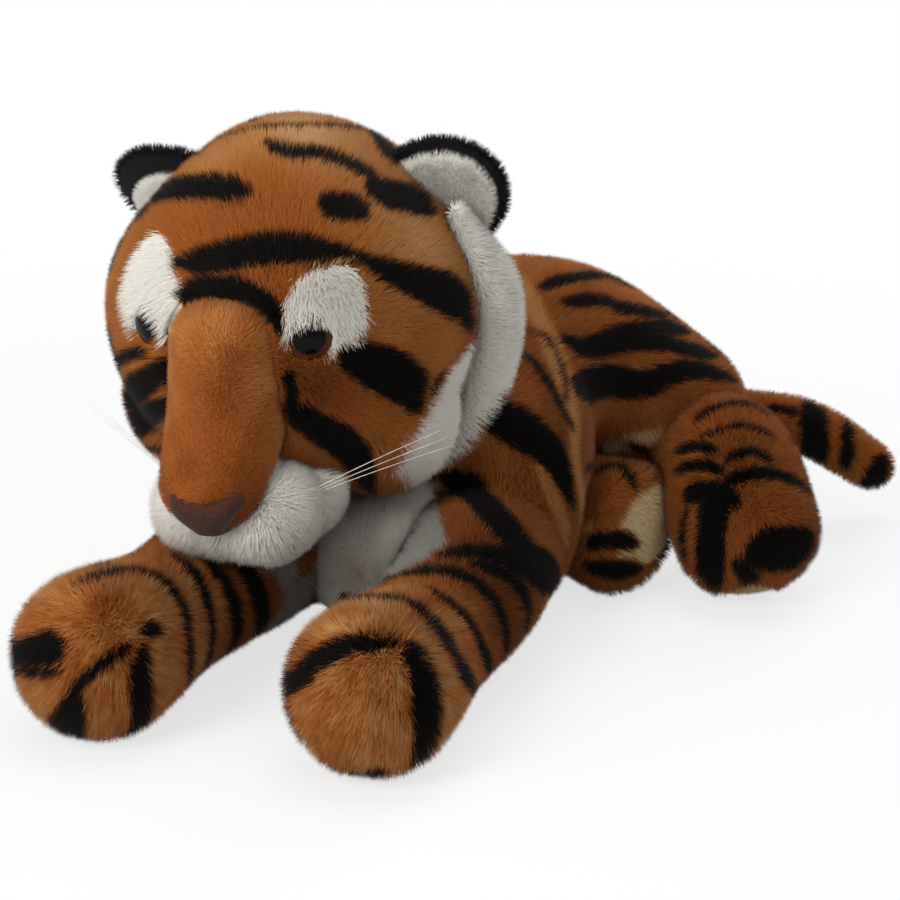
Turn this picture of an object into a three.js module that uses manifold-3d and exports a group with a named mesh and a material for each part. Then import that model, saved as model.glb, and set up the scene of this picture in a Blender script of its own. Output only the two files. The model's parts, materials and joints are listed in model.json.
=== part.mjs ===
// A plush tiger lying on its chest: head bowed, hips swung to its left, both hind feet out on that side.
// Millimetres, +Z up, resting on z = 0. It faces along -Y, so its own left side is +X.
import * as THREE from "three";
import { ConvexGeometry } from "three/addons/geometries/ConvexGeometry.js";
import { mergeVertices } from "three/addons/utils/BufferGeometryUtils.js";
import Module from "manifold-3d";

const wasm = await Module();
wasm.setup();
const { Manifold, Mesh } = wasm;

// Cloth, gaps and facets
const seamGap = 0.3; // air between two pieces that are sewn together or lie on each other
const fillGap = 0.6; // air between a stuffing and the cloth round it
const plush = 7; // striped and white plush: backing and standing pile together
const shorn = 3.5; // shorn plush, as on the nose bridge and the soles
const floorFlat = 0.5; // how much of a rounded underside the floor presses flat
const bodySides = 16;
const limbSides = 12;
const trimSides = 8;
const roomSides = 24; // of the hollow that the skull turns in
const fullTurn = 2 * Math.PI;
const quarterTurn = Math.PI / 2;

// Torso, a bag along a bent spine. Places are shares of its length: x to its left, y to its rear, z up.
const torso = { length: 200, width: 94, height: 101, frontBulge: 26, rearBulge: 24 };
const torsoPathShares = [
  [-0.03, 0.65, 0.25],
  [-0.01, 0.77, 0.325],
  [0.07, 0.9, 0.35],
  [0.195, 1.06, 0.215],
];
const torsoWidthShares = [0.5, 0.46, 0.37, 0.36];
const torsoHeightShares = [0.5, 0.38, 0.29, 0.29];
const chest = { width: 62, length: 90, height: 54 };
const chestPlaceShares = [-0.06, 0.595, 0.12];
const belly = { width: 84, length: 130, height: 112 };
const bellyPlaceShares = [-0.05, 0.6, 0.04];

// Head, in a frame of its own: face along -Y, crown along +Z, origin at the middle of the skull
const head = { width: 108, bow: 32, turn: 2 };
const headPlaceShares = [-0.163, 0.44, 0.507];
const jowl = { width: 46, depth: 46, height: 50 };
const jowlPlaceShares = [0.24, -0.18, -0.2];
const bridge = { length: 66, width: 32, height: 29, rearBulge: 8, tipBulge: 13, mainSides: 16 };
const bridgePathShares = [
  [-0.01, -0.41, 0.452],
  [-0.02, -0.68, 0.09],
  [-0.03, -1.01, -0.08],
];
const bridgeWidthShares = [0.47, 0.5, 0.47];
const bridgeHeightShares = [0.48, 0.5, 0.44];
const lip = { width: 34, depth: 34, height: 31 };
const lipPlaceShares = [0.1, -0.57, -0.18];
const nose = { width: 24, height: 18, thickness: 1.5 };
const noseOutlineShares = [
  [-0.5, 0.12],
  [0, 0.22],
  [0.5, 0.12],
  [0.36, -0.32],
  [0, -0.78],
  [-0.36, -0.32],
];
const eye = { diameter: 13.5, rise: 4.2, sunk: 3, shank: 4, shankLength: 13, washer: 14, washerThickness: 1.6 };
const eyePlaceShares = [0.22, -0.35, 0.235];
const eyeDomeShares = [0.2, 0.5, 0.8];
const browPatch = { width: 26, height: 26 };
const browOutlineShares = [
  [-0.38, 0.1],
  [-0.3, 0.42],
  [0.3, 0.5],
  [0.52, 0.05],
  [0.3, -0.38],
  [-0.2, -0.36],
];
const ear = { width: 40, height: 26, thickness: 9, rim: 4.5 };
const earPlaceShares = { left: [0.35, 0.28, 0.15], right: [0.4, 0.3, 0.06] };
const earTilt = { left: 43, right: 64 }; // degrees that an ear leans outward from upright
const ruff = { width: 15, rearBulge: 5, tipBulge: 6 };
const ruffPathShares = [
  [0.43, 0.21, 0.28],
  [0.52, 0.14, -0.08],
  [0.46, -0.03, -0.34],
  [0.35, -0.15, -0.44],
];
const ruffWidthShares = [0.36, 0.6, 0.6, 0.44];
const whisker = { length: 42, thickness: 0.8 };
const whiskerAimShares = [
  [0.8, 0.42, 0.24],
  [0.84, 0.46, 0.1],
  [0.86, 0.5, -0.04],
];

// Limbs: places are shares of the limb's length from its root, and the roots are shares of the torso's
const foreleg = { length: 120, thickness: 44, root: 50, rootHeight: 88, pawBulge: 19 };
const shoulderShares = { left: [0.085, 0.625, 0.21], right: [-0.195, 0.6, 0.21] };
const forelegPathShares = [
  [0, -0.04, -0.12],
  [0.06, -0.38, -0.14],
  [0.08, -0.68, -0.165],
  [0.09, -1.02],
];
const forelegWidthShares = [0.5, 0.5, 0.44, 0.52];
const hindleg = { length: 60, thickness: 46, root: 42, rootHeight: 42, sole: 30, pawBulge: 17, flatPawBulge: 9 };
const hipShares = { left: [0.28, 1.01, 0.175], right: [0.03, 0.99, 0.17] };
const hindlegPathShares = {
  left: [
    [0, 0, 0],
    [0.22, -0.3, 0.02],
    [0.44, -0.6, -0.235],
  ],
  right: [
    [0, 0, 0],
    [0.26, -0.48, -0.17],
    [0.66, -0.68],
  ],
};
const hindlegWidthShares = { left: [0.42, 0.5, 0.5], right: [0.4, 0.4, 0.48] };
const tail = { length: 62, thickness: 20, cloth: 5, root: 22, rootHeight: 22, tipBulge: 10 };
const tailRootShares = [0.28, 1.15, 0.205];
const tailPathShares = [
  [0, 0, 0],
  [0.38, 0.26, -0.1],
  [0.68, 0.5, -0.34],
];
const tailWidthShares = [0.48, 0.5, 0.45];
const neck = { width: 32, thickness: 9, opening: 22 };
const neckAimShares = [-0.03, 0.7, 0.36];
const rootOpeningShare = 0.4; // of a limb's root: the hole through which its stuffing meets the torso's

// Limits of the soft joints, in degrees
const turns = {
  yaw: [-10, 10],
  nod: [-14, 0],
  foreleg_left: [-5, 16],
  foreleg_right: [-16, 5],
  hindleg_left: [0, 14],
  hindleg_right: [-12, 12],
  tail: [-6, 25],
};

const place = (shares, size) => new THREE.Vector3(...shares.map((share) => share * size));
const mirrored = ([x, y, z], side) => [side * x, y, z];

// A closed manifold-3d solid from a three.js geometry.
function solid(geometry) {
  const bare = geometry.clone();
  bare.deleteAttribute("normal");
  bare.deleteAttribute("uv");
  const merged = mergeVertices(bare, 1e-4);
  const make = (indices) =>
    new Manifold(
      new Mesh({
        numProp: 3,
        vertProperties: merged.attributes.position.array,
        triVerts: Uint32Array.from(indices),
      }),
    );
  const made = make(merged.index.array);
  return made.volume() > 0 ? made : make([...merged.index.array].reverse());
}

// Oval rings along a smooth path, closed by a rounded cap at each end.
function softForm({ path, widths, heights, startBulge, endBulge, sides, steps, capSteps }, grow = 0) {
  const line = new THREE.CatmullRomCurve3(path, false, "centripetal");
  const across = widths.map((width, i) => new THREE.Vector3(width, heights[i], i * widths[0]));
  const sizes = new THREE.CatmullRomCurve3(across, false, "centripetal");
  const rings = [];
  const addRing = (share, shrink, push) => {
    const along = line.getTangent(share);
    const wide = new THREE.Vector3().crossVectors(along, new THREE.Vector3(0, 0, 1)).normalize();
    const high = new THREE.Vector3().crossVectors(wide, along);
    const centre = line.getPoint(share).addScaledVector(along, push);
    const size = sizes.getPoint(share);
    for (let i = 0; i < sides; i++) {
      const angle = (fullTurn * i) / sides;
      const x = (size.x + grow) * shrink * Math.cos(angle);
      const y = (size.y + grow) * shrink * Math.sin(angle);
      rings.push(centre.clone().addScaledVector(wide, x).addScaledVector(high, y));
    }
  };
  const start = startBulge + grow;
  const end = endBulge + grow;
  const capAngles = Array.from({ length: capSteps }, (_, k) => (quarterTurn * (k + 1)) / (capSteps + 1));
  for (const angle of capAngles) addRing(0, Math.sin(angle), -start * Math.cos(angle));
  for (let k = 0; k <= steps; k++) addRing(k / steps, 1, 0);
  for (const angle of capAngles) addRing(1, Math.cos(angle), end * Math.sin(angle));
  const startPole = line.getPoint(0).addScaledVector(line.getTangent(0), -start);
  const endPole = line.getPoint(1).addScaledVector(line.getTangent(1), end);
  const geometry = new THREE.BufferGeometry().setFromPoints([startPole, ...rings, endPole]);
  geometry.setIndex(ringFaces(rings.length / sides, sides));
  return solid(geometry);
}

// Triangles that join a pole, rows of points and a second pole.
function ringFaces(rows, sides) {
  const at = (row, side) => 1 + row * sides + (side % sides);
  const last = 1 + rows * sides;
  const faces = [];
  for (let i = 0; i < sides; i++) {
    faces.push(0, at(0, i + 1), at(0, i));
    faces.push(last, at(rows - 1, i), at(rows - 1, i + 1));
    for (let row = 0; row + 1 < rows; row++) {
      faces.push(at(row, i), at(row, i + 1), at(row + 1, i));
      faces.push(at(row, i + 1), at(row + 1, i + 1), at(row + 1, i));
    }
  }
  return faces;
}

function ellipsoid(width, depth, height, centre, grow, sides = bodySides) {
  const ball = new THREE.SphereGeometry(1, sides, Math.round(sides / 2));
  ball.rotateX(quarterTurn);
  ball.scale(width / 2 + grow, depth / 2 + grow, height / 2 + grow);
  ball.translate(centre.x, centre.y, centre.z);
  return solid(ball);
}

// Booleans, and the turns about a pivot
const union = (...made) => made.reduce((all, next) => all.add(next));
const less = (made, ...cutters) => cutters.reduce((left, cutter) => left.subtract(cutter), made);

// The room that a rounded form takes while it turns between its limits
function turningRoom(made, moves) {
  const { vertProperties } = made.getMesh();
  const room = [];
  for (let i = 0; i < vertProperties.length; i += 3) {
    const at = new THREE.Vector3().fromArray(vertProperties, i);
    for (const move of moves) room.push(at.clone().applyMatrix4(move));
  }
  return solid(new ConvexGeometry(room));
}

function turnAbout(pivot, axis, degrees) {
  const turn = new THREE.Matrix4().makeRotationAxis(axis, THREE.MathUtils.degToRad(degrees));
  const there = new THREE.Matrix4().makeTranslation(pivot);
  return there.multiply(turn).multiply(new THREE.Matrix4().makeTranslation(pivot.clone().negate()));
}
const stops = ([from, to]) => [from, from * to === 0 ? (from + to) / 2 : 0, to];
const movesOf = (pivot, axis, limits) => stops(limits).map((angle) => turnAbout(pivot, axis, angle));
const turned = (made, pivot, axis, degrees) => made.transform(turnAbout(pivot, axis, degrees).elements);

// Torso
const spineForm = (grow, count) =>
  softForm(
    {
      path: torsoPathShares.map((shares) => place(shares, torso.length)),
      widths: torsoWidthShares.map((share) => share * torso.width),
      heights: torsoHeightShares.map((share) => share * torso.height),
      startBulge: torso.frontBulge,
      endBulge: torso.rearBulge,
      sides: count,
      steps: 8,
      capSteps: 3,
    },
    grow,
  );
const chestForm = (grow, count) =>
  ellipsoid(chest.width, chest.length, chest.height, place(chestPlaceShares, torso.length), grow, count);
const torsoForm = (grow, count = bodySides) => union(spineForm(grow, count), chestForm(grow, count));
const bellyForm = (grow) =>
  ellipsoid(belly.width, belly.length, belly.height, place(bellyPlaceShares, torso.length), grow);

// Head forms, made in the head's own frame
const up = new THREE.Vector3(0, 0, 1);
const headPlace = place(headPlaceShares, torso.length);
const headTurn = new THREE.Euler(THREE.MathUtils.degToRad(head.bow), 0, THREE.MathUtils.degToRad(head.turn), "ZYX");
const headFrame = new THREE.Matrix4().makeRotationFromEuler(headTurn).setPosition(headPlace);
const headLateral = new THREE.Vector3(1, 0, 0).transformDirection(headFrame);
const inWorld = (made) => made.transform(headFrame.elements);
const headShare = (shares, side = 1) => place(mirrored(shares, side), head.width);
const sides = [
  ["left", 1],
  ["right", -1],
];

const skullForm = (grow, count = bodySides) =>
  ellipsoid(head.width, head.width, head.width, new THREE.Vector3(), grow, count);
const jowlForm = (side, grow, count = limbSides) =>
  ellipsoid(jowl.width, jowl.depth, jowl.height, headShare(jowlPlaceShares, side), grow, count);
const headForm = (grow) => union(skullForm(grow), jowlForm(1, grow), jowlForm(-1, grow));
const headFill = (grow) =>
  union(skullForm(grow, bodySides / 2), jowlForm(1, grow, limbSides / 2), jowlForm(-1, grow, limbSides / 2));
const bridgeForm = (grow) =>
  softForm(
    {
      path: bridgePathShares.map((shares) => place(shares, bridge.length)),
      widths: bridgeWidthShares.map((share) => share * bridge.width),
      heights: bridgeHeightShares.map((share) => share * bridge.height),
      startBulge: bridge.rearBulge,
      endBulge: bridge.tipBulge,
      sides: bridge.mainSides,
      steps: 4,
      capSteps: 3,
    },
    grow,
  );
const lipForm = (side, grow) =>
  ellipsoid(lip.width, lip.depth, lip.height, headShare(lipPlaceShares, side), grow, limbSides);
const ruffForm = (side, grow) =>
  softForm(
    {
      path: ruffPathShares.map((shares) => headShare(shares, side)),
      widths: ruffWidthShares.map((share) => share * ruff.width),
      heights: ruffWidthShares.map((share) => share * ruff.width),
      startBulge: ruff.rearBulge,
      endBulge: ruff.tipBulge,
      sides: trimSides,
      steps: 7,
      capSteps: 2,
    },
    grow,
  );

// Limb forms: a root ball that turns in the torso, and the limb that comes out of it.
// A place without a height lies on the floor, pressed flat there.
const limbPoint = (root, size, pathShares, widthShares, side, i) => {
  const [x, y, z] = pathShares[i];
  const at = place([side * x, y, z ?? 0], size.length).add(root);
  return z === undefined ? at.setZ(widthShares[i] * size.thickness - floorFlat) : at;
};
const limbForm = (root, size, pathShares, widthShares, side, endBulge, count, grow) =>
  softForm(
    {
      path: pathShares.map((_, i) => limbPoint(root, size, pathShares, widthShares, side, i)),
      widths: widthShares.map((share) => share * size.thickness),
      heights: widthShares.map((share) => share * size.thickness),
      startBulge: size.root / 4,
      endBulge,
      sides: count,
      steps: 5,
      capSteps: 2,
    },
    grow,
  );
const rootBall = (root, size, count, grow) => ellipsoid(size.root, size.root, size.rootHeight, root, grow, count);
const shoulder = (name) => place(shoulderShares[name], torso.length);
const hip = (name) => place(hipShares[name], torso.length);
const tailRoot = place(tailRootShares, torso.length);

// A block that lies behind a plane: the plane passes through a place and faces along a direction.
function behind(at, direction) {
  const size = 2 * torso.length;
  const block = new THREE.BoxGeometry(size, size, size);
  block.translate(0, 0, -size / 2);
  block.applyQuaternion(new THREE.Quaternion().setFromUnitVectors(up, direction));
  block.translate(at.x, at.y, at.z);
  return solid(block);
}
const underFloor = behind(new THREE.Vector3(), up);

// A rod of a width, between two distances from a place along a direction
function rod(at, direction, width, from, to, count = limbSides) {
  const cylinder = new THREE.CylinderGeometry(width / 2, width / 2, to - from, count);
  cylinder.translate(0, (from + to) / 2, 0);
  cylinder.applyQuaternion(new THREE.Quaternion().setFromUnitVectors(new THREE.Vector3(0, 1, 0), direction));
  cylinder.translate(at.x, at.y, at.z);
  return solid(cylinder);
}

// Head pieces that stand clear of the torso and the forelegs while the head turns
const sidesOf = (make) => union(...sides.map(([name, side]) => make(name, side)));
const earAt = (name, side, made) => {
  const leaned = turned(made, new THREE.Vector3(), new THREE.Vector3(0, 1, 0), side * earTilt[name]);
  return leaned.translate(headShare(earPlaceShares[name], side).toArray());
};
const earForm = (name, side, grow) =>
  earAt(name, side, ellipsoid(ear.width, ear.thickness, 2 * ear.height, new THREE.Vector3(), grow, limbSides));
const nods = movesOf(headPlace, headLateral, turns.nod);
const yaws = movesOf(headPlace, up, turns.yaw);
const headMoves = yaws.flatMap((yaw) => nods.map((nod) => yaw.clone().multiply(nod)));
const pairsOf = (make) => sides.map(([, side]) => make(side, seamGap));
const facetShare = Math.cos(Math.PI / roomSides) ** 2; // how near a facet of a ball comes to the middle
const skullRoom = skullForm((head.width / 2 + seamGap) / facetShare - head.width / 2, roomSides);
const turnedRooms = [...pairsOf(ruffForm), ...pairsOf(jowlForm), ...pairsOf(lipForm)];
const headRooms = [inWorld(skullRoom), ...turnedRooms.map((made) => turningRoom(inWorld(made), headMoves))];

// Neck: a plug of stuffing between the openings of the head and the torso
const neckLine = place(neckAimShares, torso.length).sub(headPlace).normalize();
const neckReach = head.width / 2 + neck.thickness;
const neckRod = (width, grow) => rod(headPlace, neckLine, width + 2 * grow, head.width / 4, neckReach + grow);
const neckRoom = turningRoom(neckRod(neck.width, seamGap), yaws);

// Limb bodies. Each has its open cloth, its stuffing and the rooms that it turns in.
// What the rooms of a neighbour take from it is taken wherever it has turned to.
const backAgain = (rooms, moves) => rooms.map((room) => turningRoom(room, moves.map((move) => move.clone().invert())));
function limb({ root, size, cloth, inward, arm, moves, neighbours, count, fillCount }) {
  const form = (grow, n) => rootBall(root, size, n, grow).add(arm(grow, n));
  const opening = (grow) => rod(root, inward, size.root * rootOpeningShare + 2 * grow, 0, size.root);
  const cutters = backAgain(neighbours, moves);
  const fill = form(-cloth - fillGap, fillCount).add(opening(-fillGap).intersect(rootBall(root, size, count, 0)));
  return {
    skin: less(form(0, count), form(-cloth, count), opening(0), underFloor, ...cutters),
    stuffing: less(fill, ...cutters),
    rooms: [rootBall(root, size, count, seamGap), arm(seamGap, count)].map((made) => turningRoom(made, moves)),
  };
}
const inwardFrom = (root, share) => {
  const line = torsoPathShares.map((shares) => place(shares, torso.length));
  return new THREE.CatmullRomCurve3(line).getPoint(share).sub(root).normalize();
};
const limbs = {};
for (const [name, side] of sides) {
  const root = shoulder(name);
  limbs["foreleg_" + name] = limb({
    root,
    size: foreleg,
    cloth: plush,
    inward: inwardFrom(root, 0),
    arm: (grow, n) => limbForm(root, foreleg, forelegPathShares, forelegWidthShares, side, foreleg.pawBulge, n, grow),
    moves: movesOf(root, up, turns["foreleg_" + name]),
    neighbours: headRooms,
    count: limbSides,
    fillCount: limbSides / 2,
  });
}
const footOf = (name) => limbPoint(hip(name), hindleg, hindlegPathShares[name], hindlegWidthShares[name], 1, 2);
const twist = footOf("right").sub(hip("right")).normalize();
for (const [name, axis, bulge, nextTo] of [
  ["right", twist, hindleg.flatPawBulge, "foreleg_left"],
  ["left", up, hindleg.pawBulge, "hindleg_right"],
]) {
  const root = hip(name);
  limbs["hindleg_" + name] = limb({
    root,
    size: hindleg,
    cloth: plush,
    inward: inwardFrom(root, 1),
    arm: (grow, n) => limbForm(root, hindleg, hindlegPathShares[name], hindlegWidthShares[name], 1, bulge, n, grow),
    moves: movesOf(root, axis, turns["hindleg_" + name]),
    neighbours: limbs[nextTo].rooms,
    count: limbSides,
    fillCount: limbSides / 2,
  });
}
limbs.tail = limb({
  root: tailRoot,
  size: tail,
  cloth: tail.cloth,
  inward: inwardFrom(tailRoot, 1),
  arm: (grow, n) => limbForm(tailRoot, tail, tailPathShares, tailWidthShares, 1, tail.tipBulge, n, grow),
  moves: movesOf(tailRoot, up, turns.tail),
  neighbours: limbs.hindleg_left.rooms,
  count: trimSides,
  fillCount: trimSides,
});

// The model
const looks = {
  striped: { color: 0xb8651d, roughness: 0.95, metalness: 0 },
  white: { color: 0xd9d6cc, roughness: 0.95, metalness: 0 },
  black: { color: 0x1c1b19, roughness: 0.95, metalness: 0 },
  shorn: { color: 0xc8752e, roughness: 0.9, metalness: 0 },
  velour: { color: 0x55302b, roughness: 0.8, metalness: 0 },
  cream: { color: 0xd8c49c, roughness: 0.9, metalness: 0 },
  fibre: { color: 0xe9e9e6, roughness: 1, metalness: 0 },
  amber: { color: 0x3a1c0c, roughness: 0.08, metalness: 0 },
  clear: { color: 0xdcdcdc, roughness: 0.25, metalness: 0 },
  washer: { color: 0xe4e0d6, roughness: 0.5, metalness: 0 },
};
const tiger = new THREE.Group();

function add(name, made, look) {
  const mesh = made.getMesh();
  const geometry = new THREE.BufferGeometry();
  geometry.setAttribute("position", new THREE.BufferAttribute(new Float32Array(mesh.vertProperties), 3));
  geometry.setIndex(new THREE.BufferAttribute(new Uint32Array(mesh.triVerts), 1));
  const piece = new THREE.Mesh(geometry, new THREE.MeshStandardMaterial(looks[look]));
  piece.name = name;
  tiger.add(piece);
}
const addInHead = (name, made, look) => add(name, inWorld(made), look);

// Torso: striped back, white belly and stuffing, each with sockets for the head, the neck and the limbs
const sockets = union(...headRooms, neckRoom, ...Object.values(limbs).flatMap((one) => one.rooms));
const torsoCloth = less(torsoForm(0), torsoForm(-plush), underFloor, sockets);
add("torso_back", less(torsoCloth, bellyForm(seamGap)), "striped");
add("belly_panel", torsoCloth.intersect(bellyForm(0)), "white");
add("torso_stuffing", less(torsoForm(-plush - fillGap, bodySides / 2), sockets), "fibre");
const shoulderRooms = [...limbs.foreleg_left.rooms, ...limbs.foreleg_right.rooms];
const neckNeighbours = [...headRooms, ...backAgain(shoulderRooms, yaws)];
add("neck_stuffing", less(neckRod(neck.width, 0), ...neckNeighbours), "fibre");

// Limbs
const soleAt = {
  left: [footOf("left"), up.clone().negate()],
  right: [footOf("right"), new THREE.Vector3(1, 0, 0)],
};
for (const [name, { skin, stuffing }] of Object.entries(limbs)) {
  const sole = soleAt[name.replace("hindleg_", "")];
  const soleRod = (grow) => rod(...sole, hindleg.sole + 2 * grow, 0, hindleg.thickness);
  if (sole) add(name + "_sole", skin.intersect(soleRod(0)), "cream");
  add(name + "_skin", sole ? less(skin, soleRod(seamGap)) : skin, "striped");
  add(name + "_stuffing", stuffing, "fibre");
}

// Eyes: a domed cap on a shank through the cloth, held inside by a washer
function eyeSeat(side) {
  const aim = headShare(eyePlaceShares, side);
  const normal = aim.normalize();
  return { at: normal.clone().multiplyScalar(head.width / 2 - eye.sunk), normal };
}
function eyeForm(side, grow) {
  const { at, normal } = eyeSeat(side);
  const radius = eye.diameter / 2 + grow;
  const shank = eye.shank / 2 + grow;
  const outline = [new THREE.Vector2(0, -eye.shankLength - grow), new THREE.Vector2(shank, -eye.shankLength - grow)];
  outline.push(new THREE.Vector2(shank, -grow), new THREE.Vector2(radius, -grow));
  for (const angle of eyeDomeShares.map((share) => share * quarterTurn)) {
    outline.push(new THREE.Vector2(radius * Math.cos(angle), (eye.rise + grow) * Math.sin(angle)));
  }
  outline.push(new THREE.Vector2(0, eye.rise + grow));
  const lathe = new THREE.LatheGeometry(outline, limbSides);
  lathe.applyQuaternion(new THREE.Quaternion().setFromUnitVectors(new THREE.Vector3(0, 1, 0), normal));
  lathe.translate(at.x, at.y, at.z);
  return solid(lathe);
}
function washerForm(side, grow) {
  const { at, normal } = eyeSeat(side);
  const deep = plush - eye.sunk + eye.washer / 5;
  const disc = rod(at, normal, eye.washer + 2 * grow, -deep - eye.washerThickness - grow, -deep + grow);
  return grow > 0 ? disc : less(disc, eyeForm(side, seamGap));
}

// An outline across the face, pushed back into the head from one depth to the face
function facePrism(outlineShares, width, height, centre, from, side, grow) {
  const corners = outlineShares.map(
    ([x, z]) => new THREE.Vector2(side * (x * width + Math.sign(x) * grow), z * height + Math.sign(z) * grow),
  );
  const prism = new THREE.ExtrudeGeometry(new THREE.Shape(corners), { depth: head.width, bevelEnabled: false });
  prism.rotateX(quarterTurn);
  prism.translate(centre.x, from, centre.z);
  return solid(prism);
}
const browForm = (side, grow) =>
  facePrism(browOutlineShares, browPatch.width, browPatch.height, headShare(eyePlaceShares, side), 0, side, grow);
const bridgeTip = place(bridgePathShares[2], bridge.length);
const noseForm = (grow) =>
  bridgeForm(nose.thickness + grow).intersect(
    facePrism(noseOutlineShares, nose.width, nose.height, bridgeTip, bridgeTip.y, 1, grow),
  );

// Head skin, brow patches, muzzle and stuffing
const eyeHoles = sidesOf((_, side) => eyeForm(side, seamGap));
const neckHole = (grow) => neckRod(neck.opening, grow).transform(headFrame.clone().invert().elements);
const headCloth = less(headForm(0), headForm(-plush), neckHole(0), bridgeForm(seamGap), eyeHoles);
const muzzleCore = bridgeForm(-shorn - fillGap);
const headCore = union(headFill(-plush - fillGap), muzzleCore, neckHole(-seamGap).intersect(skullForm(0)));
const washerRoom = sidesOf((_, side) => washerForm(side, seamGap));
addInHead("head_skin", less(headCloth, sidesOf((_, side) => browForm(side, seamGap))), "striped");
addInHead("muzzle_bridge", less(bridgeForm(0), bridgeForm(-shorn), headForm(-plush), eyeHoles), "shorn");
addInHead("nose", less(noseForm(0), bridgeForm(seamGap)), "velour");
addInHead("head_stuffing", less(headCore, eyeHoles, washerRoom), "fibre");

const halfSpace = (side) => behind(new THREE.Vector3(side * seamGap / 2, 0, 0), new THREE.Vector3(side, 0, 0));
for (const [name, side] of sides) {
  addInHead("brow_patch_" + name, headCloth.intersect(browForm(side, 0)), "white");
  addInHead("eye_" + name, eyeForm(side, 0), "amber");
  addInHead("eye_washer_" + name, washerForm(side, 0), "washer");
  const lipBody = less(lipForm(side, 0), bridgeForm(seamGap), headForm(seamGap), noseForm(seamGap), halfSpace(side));
  addInHead("lip_" + name, lipBody, "white");
  addInHead("cheek_ruff_" + name, less(ruffForm(side, 0), headForm(seamGap)), "white");
  const hollow = (grow) =>
    earAt(
      name,
      side,
      ellipsoid(
        ear.width - 2 * ear.rim,
        ear.thickness,
        2 * (ear.height - ear.rim),
        new THREE.Vector3(0, -ear.thickness / 2, 0),
        grow,
        limbSides,
      ),
    );
  const besideEar = union(headForm(seamGap), ruffForm(side, seamGap));
  addInHead("ear_back_" + name, less(earForm(name, side, 0), hollow(seamGap), besideEar), "black");
  addInHead("ear_front_" + name, less(hollow(0).intersect(earForm(name, side, ear.rim / 4)), besideEar), "white");
  whiskerAimShares.forEach((shares, i) => {
    const aim = place(mirrored(shares, side), 1).normalize();
    const strand = rod(headShare(lipPlaceShares, side), aim, whisker.thickness, 0, whisker.length + lip.width / 2, 6);
    addInHead(`whisker_${name}_${i + 1}`, less(strand, lipForm(side, seamGap), headForm(seamGap)), "clear");
  });
}

// Origin at the middle of the underside
const bounds = new THREE.Box3().setFromObject(tiger);
const middle = bounds.getCenter(new THREE.Vector3());
tiger.position.set(-middle.x, -middle.y, -bounds.min.z);

export default tiger;
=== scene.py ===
"""Looks of the plush tiger: fur, muzzle, eyes, ears, whiskers, soles and floor.

Forms are written in the same millimetre frame as the CAD source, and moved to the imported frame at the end.
"""

import json
import math

import bpy
import numpy as np
from mathutils import Matrix, Vector
from mathutils.bvhtree import BVHTree


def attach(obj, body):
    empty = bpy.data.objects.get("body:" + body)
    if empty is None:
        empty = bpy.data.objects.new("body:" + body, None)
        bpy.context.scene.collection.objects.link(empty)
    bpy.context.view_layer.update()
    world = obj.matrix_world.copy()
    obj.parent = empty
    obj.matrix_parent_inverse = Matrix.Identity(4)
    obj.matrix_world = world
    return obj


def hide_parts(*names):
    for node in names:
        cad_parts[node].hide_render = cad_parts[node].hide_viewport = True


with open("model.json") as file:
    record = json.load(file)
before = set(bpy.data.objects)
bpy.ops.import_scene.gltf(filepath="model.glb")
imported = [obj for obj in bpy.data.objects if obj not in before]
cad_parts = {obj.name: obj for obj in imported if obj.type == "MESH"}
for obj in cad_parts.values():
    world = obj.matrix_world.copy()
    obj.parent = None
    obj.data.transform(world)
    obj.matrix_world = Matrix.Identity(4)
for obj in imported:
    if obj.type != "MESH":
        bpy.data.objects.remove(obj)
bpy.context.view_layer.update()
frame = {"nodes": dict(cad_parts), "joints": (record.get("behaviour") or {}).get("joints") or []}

MM = 0.001
rng = np.random.default_rng(7)

# Driving sizes in millimetres, the head's bow and turn in degrees, and the frames
TORSO = 200.0
HEAD = 108.0
BOW, TURN = 32.0, 2.0
head_place = np.array([-0.163, 0.44, 0.507]) * TORSO
neck_joint = next(j for j in frame["joints"] if j["name"] == "neck_turn")
shift = np.array(neck_joint["pos_m"]) / MM - head_place


def turn_about(axis, degrees):
    return np.array(Matrix.Rotation(math.radians(degrees), 3, Vector(axis)))


head_turn = turn_about((0, 0, 1), TURN) @ turn_about((1, 0, 0), BOW)


def from_head(points):
    return np.asarray(points, float) @ head_turn.T + head_place


def to_head(points):
    return (np.asarray(points, float) - head_place) @ head_turn


def unit(vectors):
    vectors = np.asarray(vectors, float)
    return vectors / np.maximum(np.linalg.norm(vectors, axis=-1, keepdims=True), 1e-9)


# The photograph's camera, as far as the picture tells: angles in degrees, place in millimetres
scene = bpy.context.scene
azimuth, elevation = math.radians(22), math.radians(16)
LENS, SENSOR, IMAGE = 100, 36, 900
FOCAL = LENS * IMAGE / SENSOR
cam_back = np.array(
    [math.sin(azimuth) * math.cos(elevation), -math.cos(azimuth) * math.cos(elevation), math.sin(elevation)]
)
cam_right = np.array([math.cos(azimuth), math.sin(azimuth), 0.0])
cam_up = np.cross(cam_back, cam_right)
cam_at = np.array([270.6, -544.0, 257.6])
cam_data = bpy.data.cameras.new("camera")
cam_data.lens, cam_data.sensor_width = LENS, SENSOR
cam_data.clip_start, cam_data.clip_end = 0.01, 100
camera = bpy.data.objects.new("camera", cam_data)
camera.location = (cam_at + shift) * MM
camera.rotation_mode = "QUATERNION"
camera.rotation_quaternion = Vector(-cam_back).to_track_quat("-Z", "Y")
scene.collection.objects.link(camera)
scene.camera = camera


def pixel_ray(x, y):
    return unit(-cam_back * FOCAL + cam_right * (x - IMAGE / 2) - cam_up * (y - IMAGE / 2))


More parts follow.
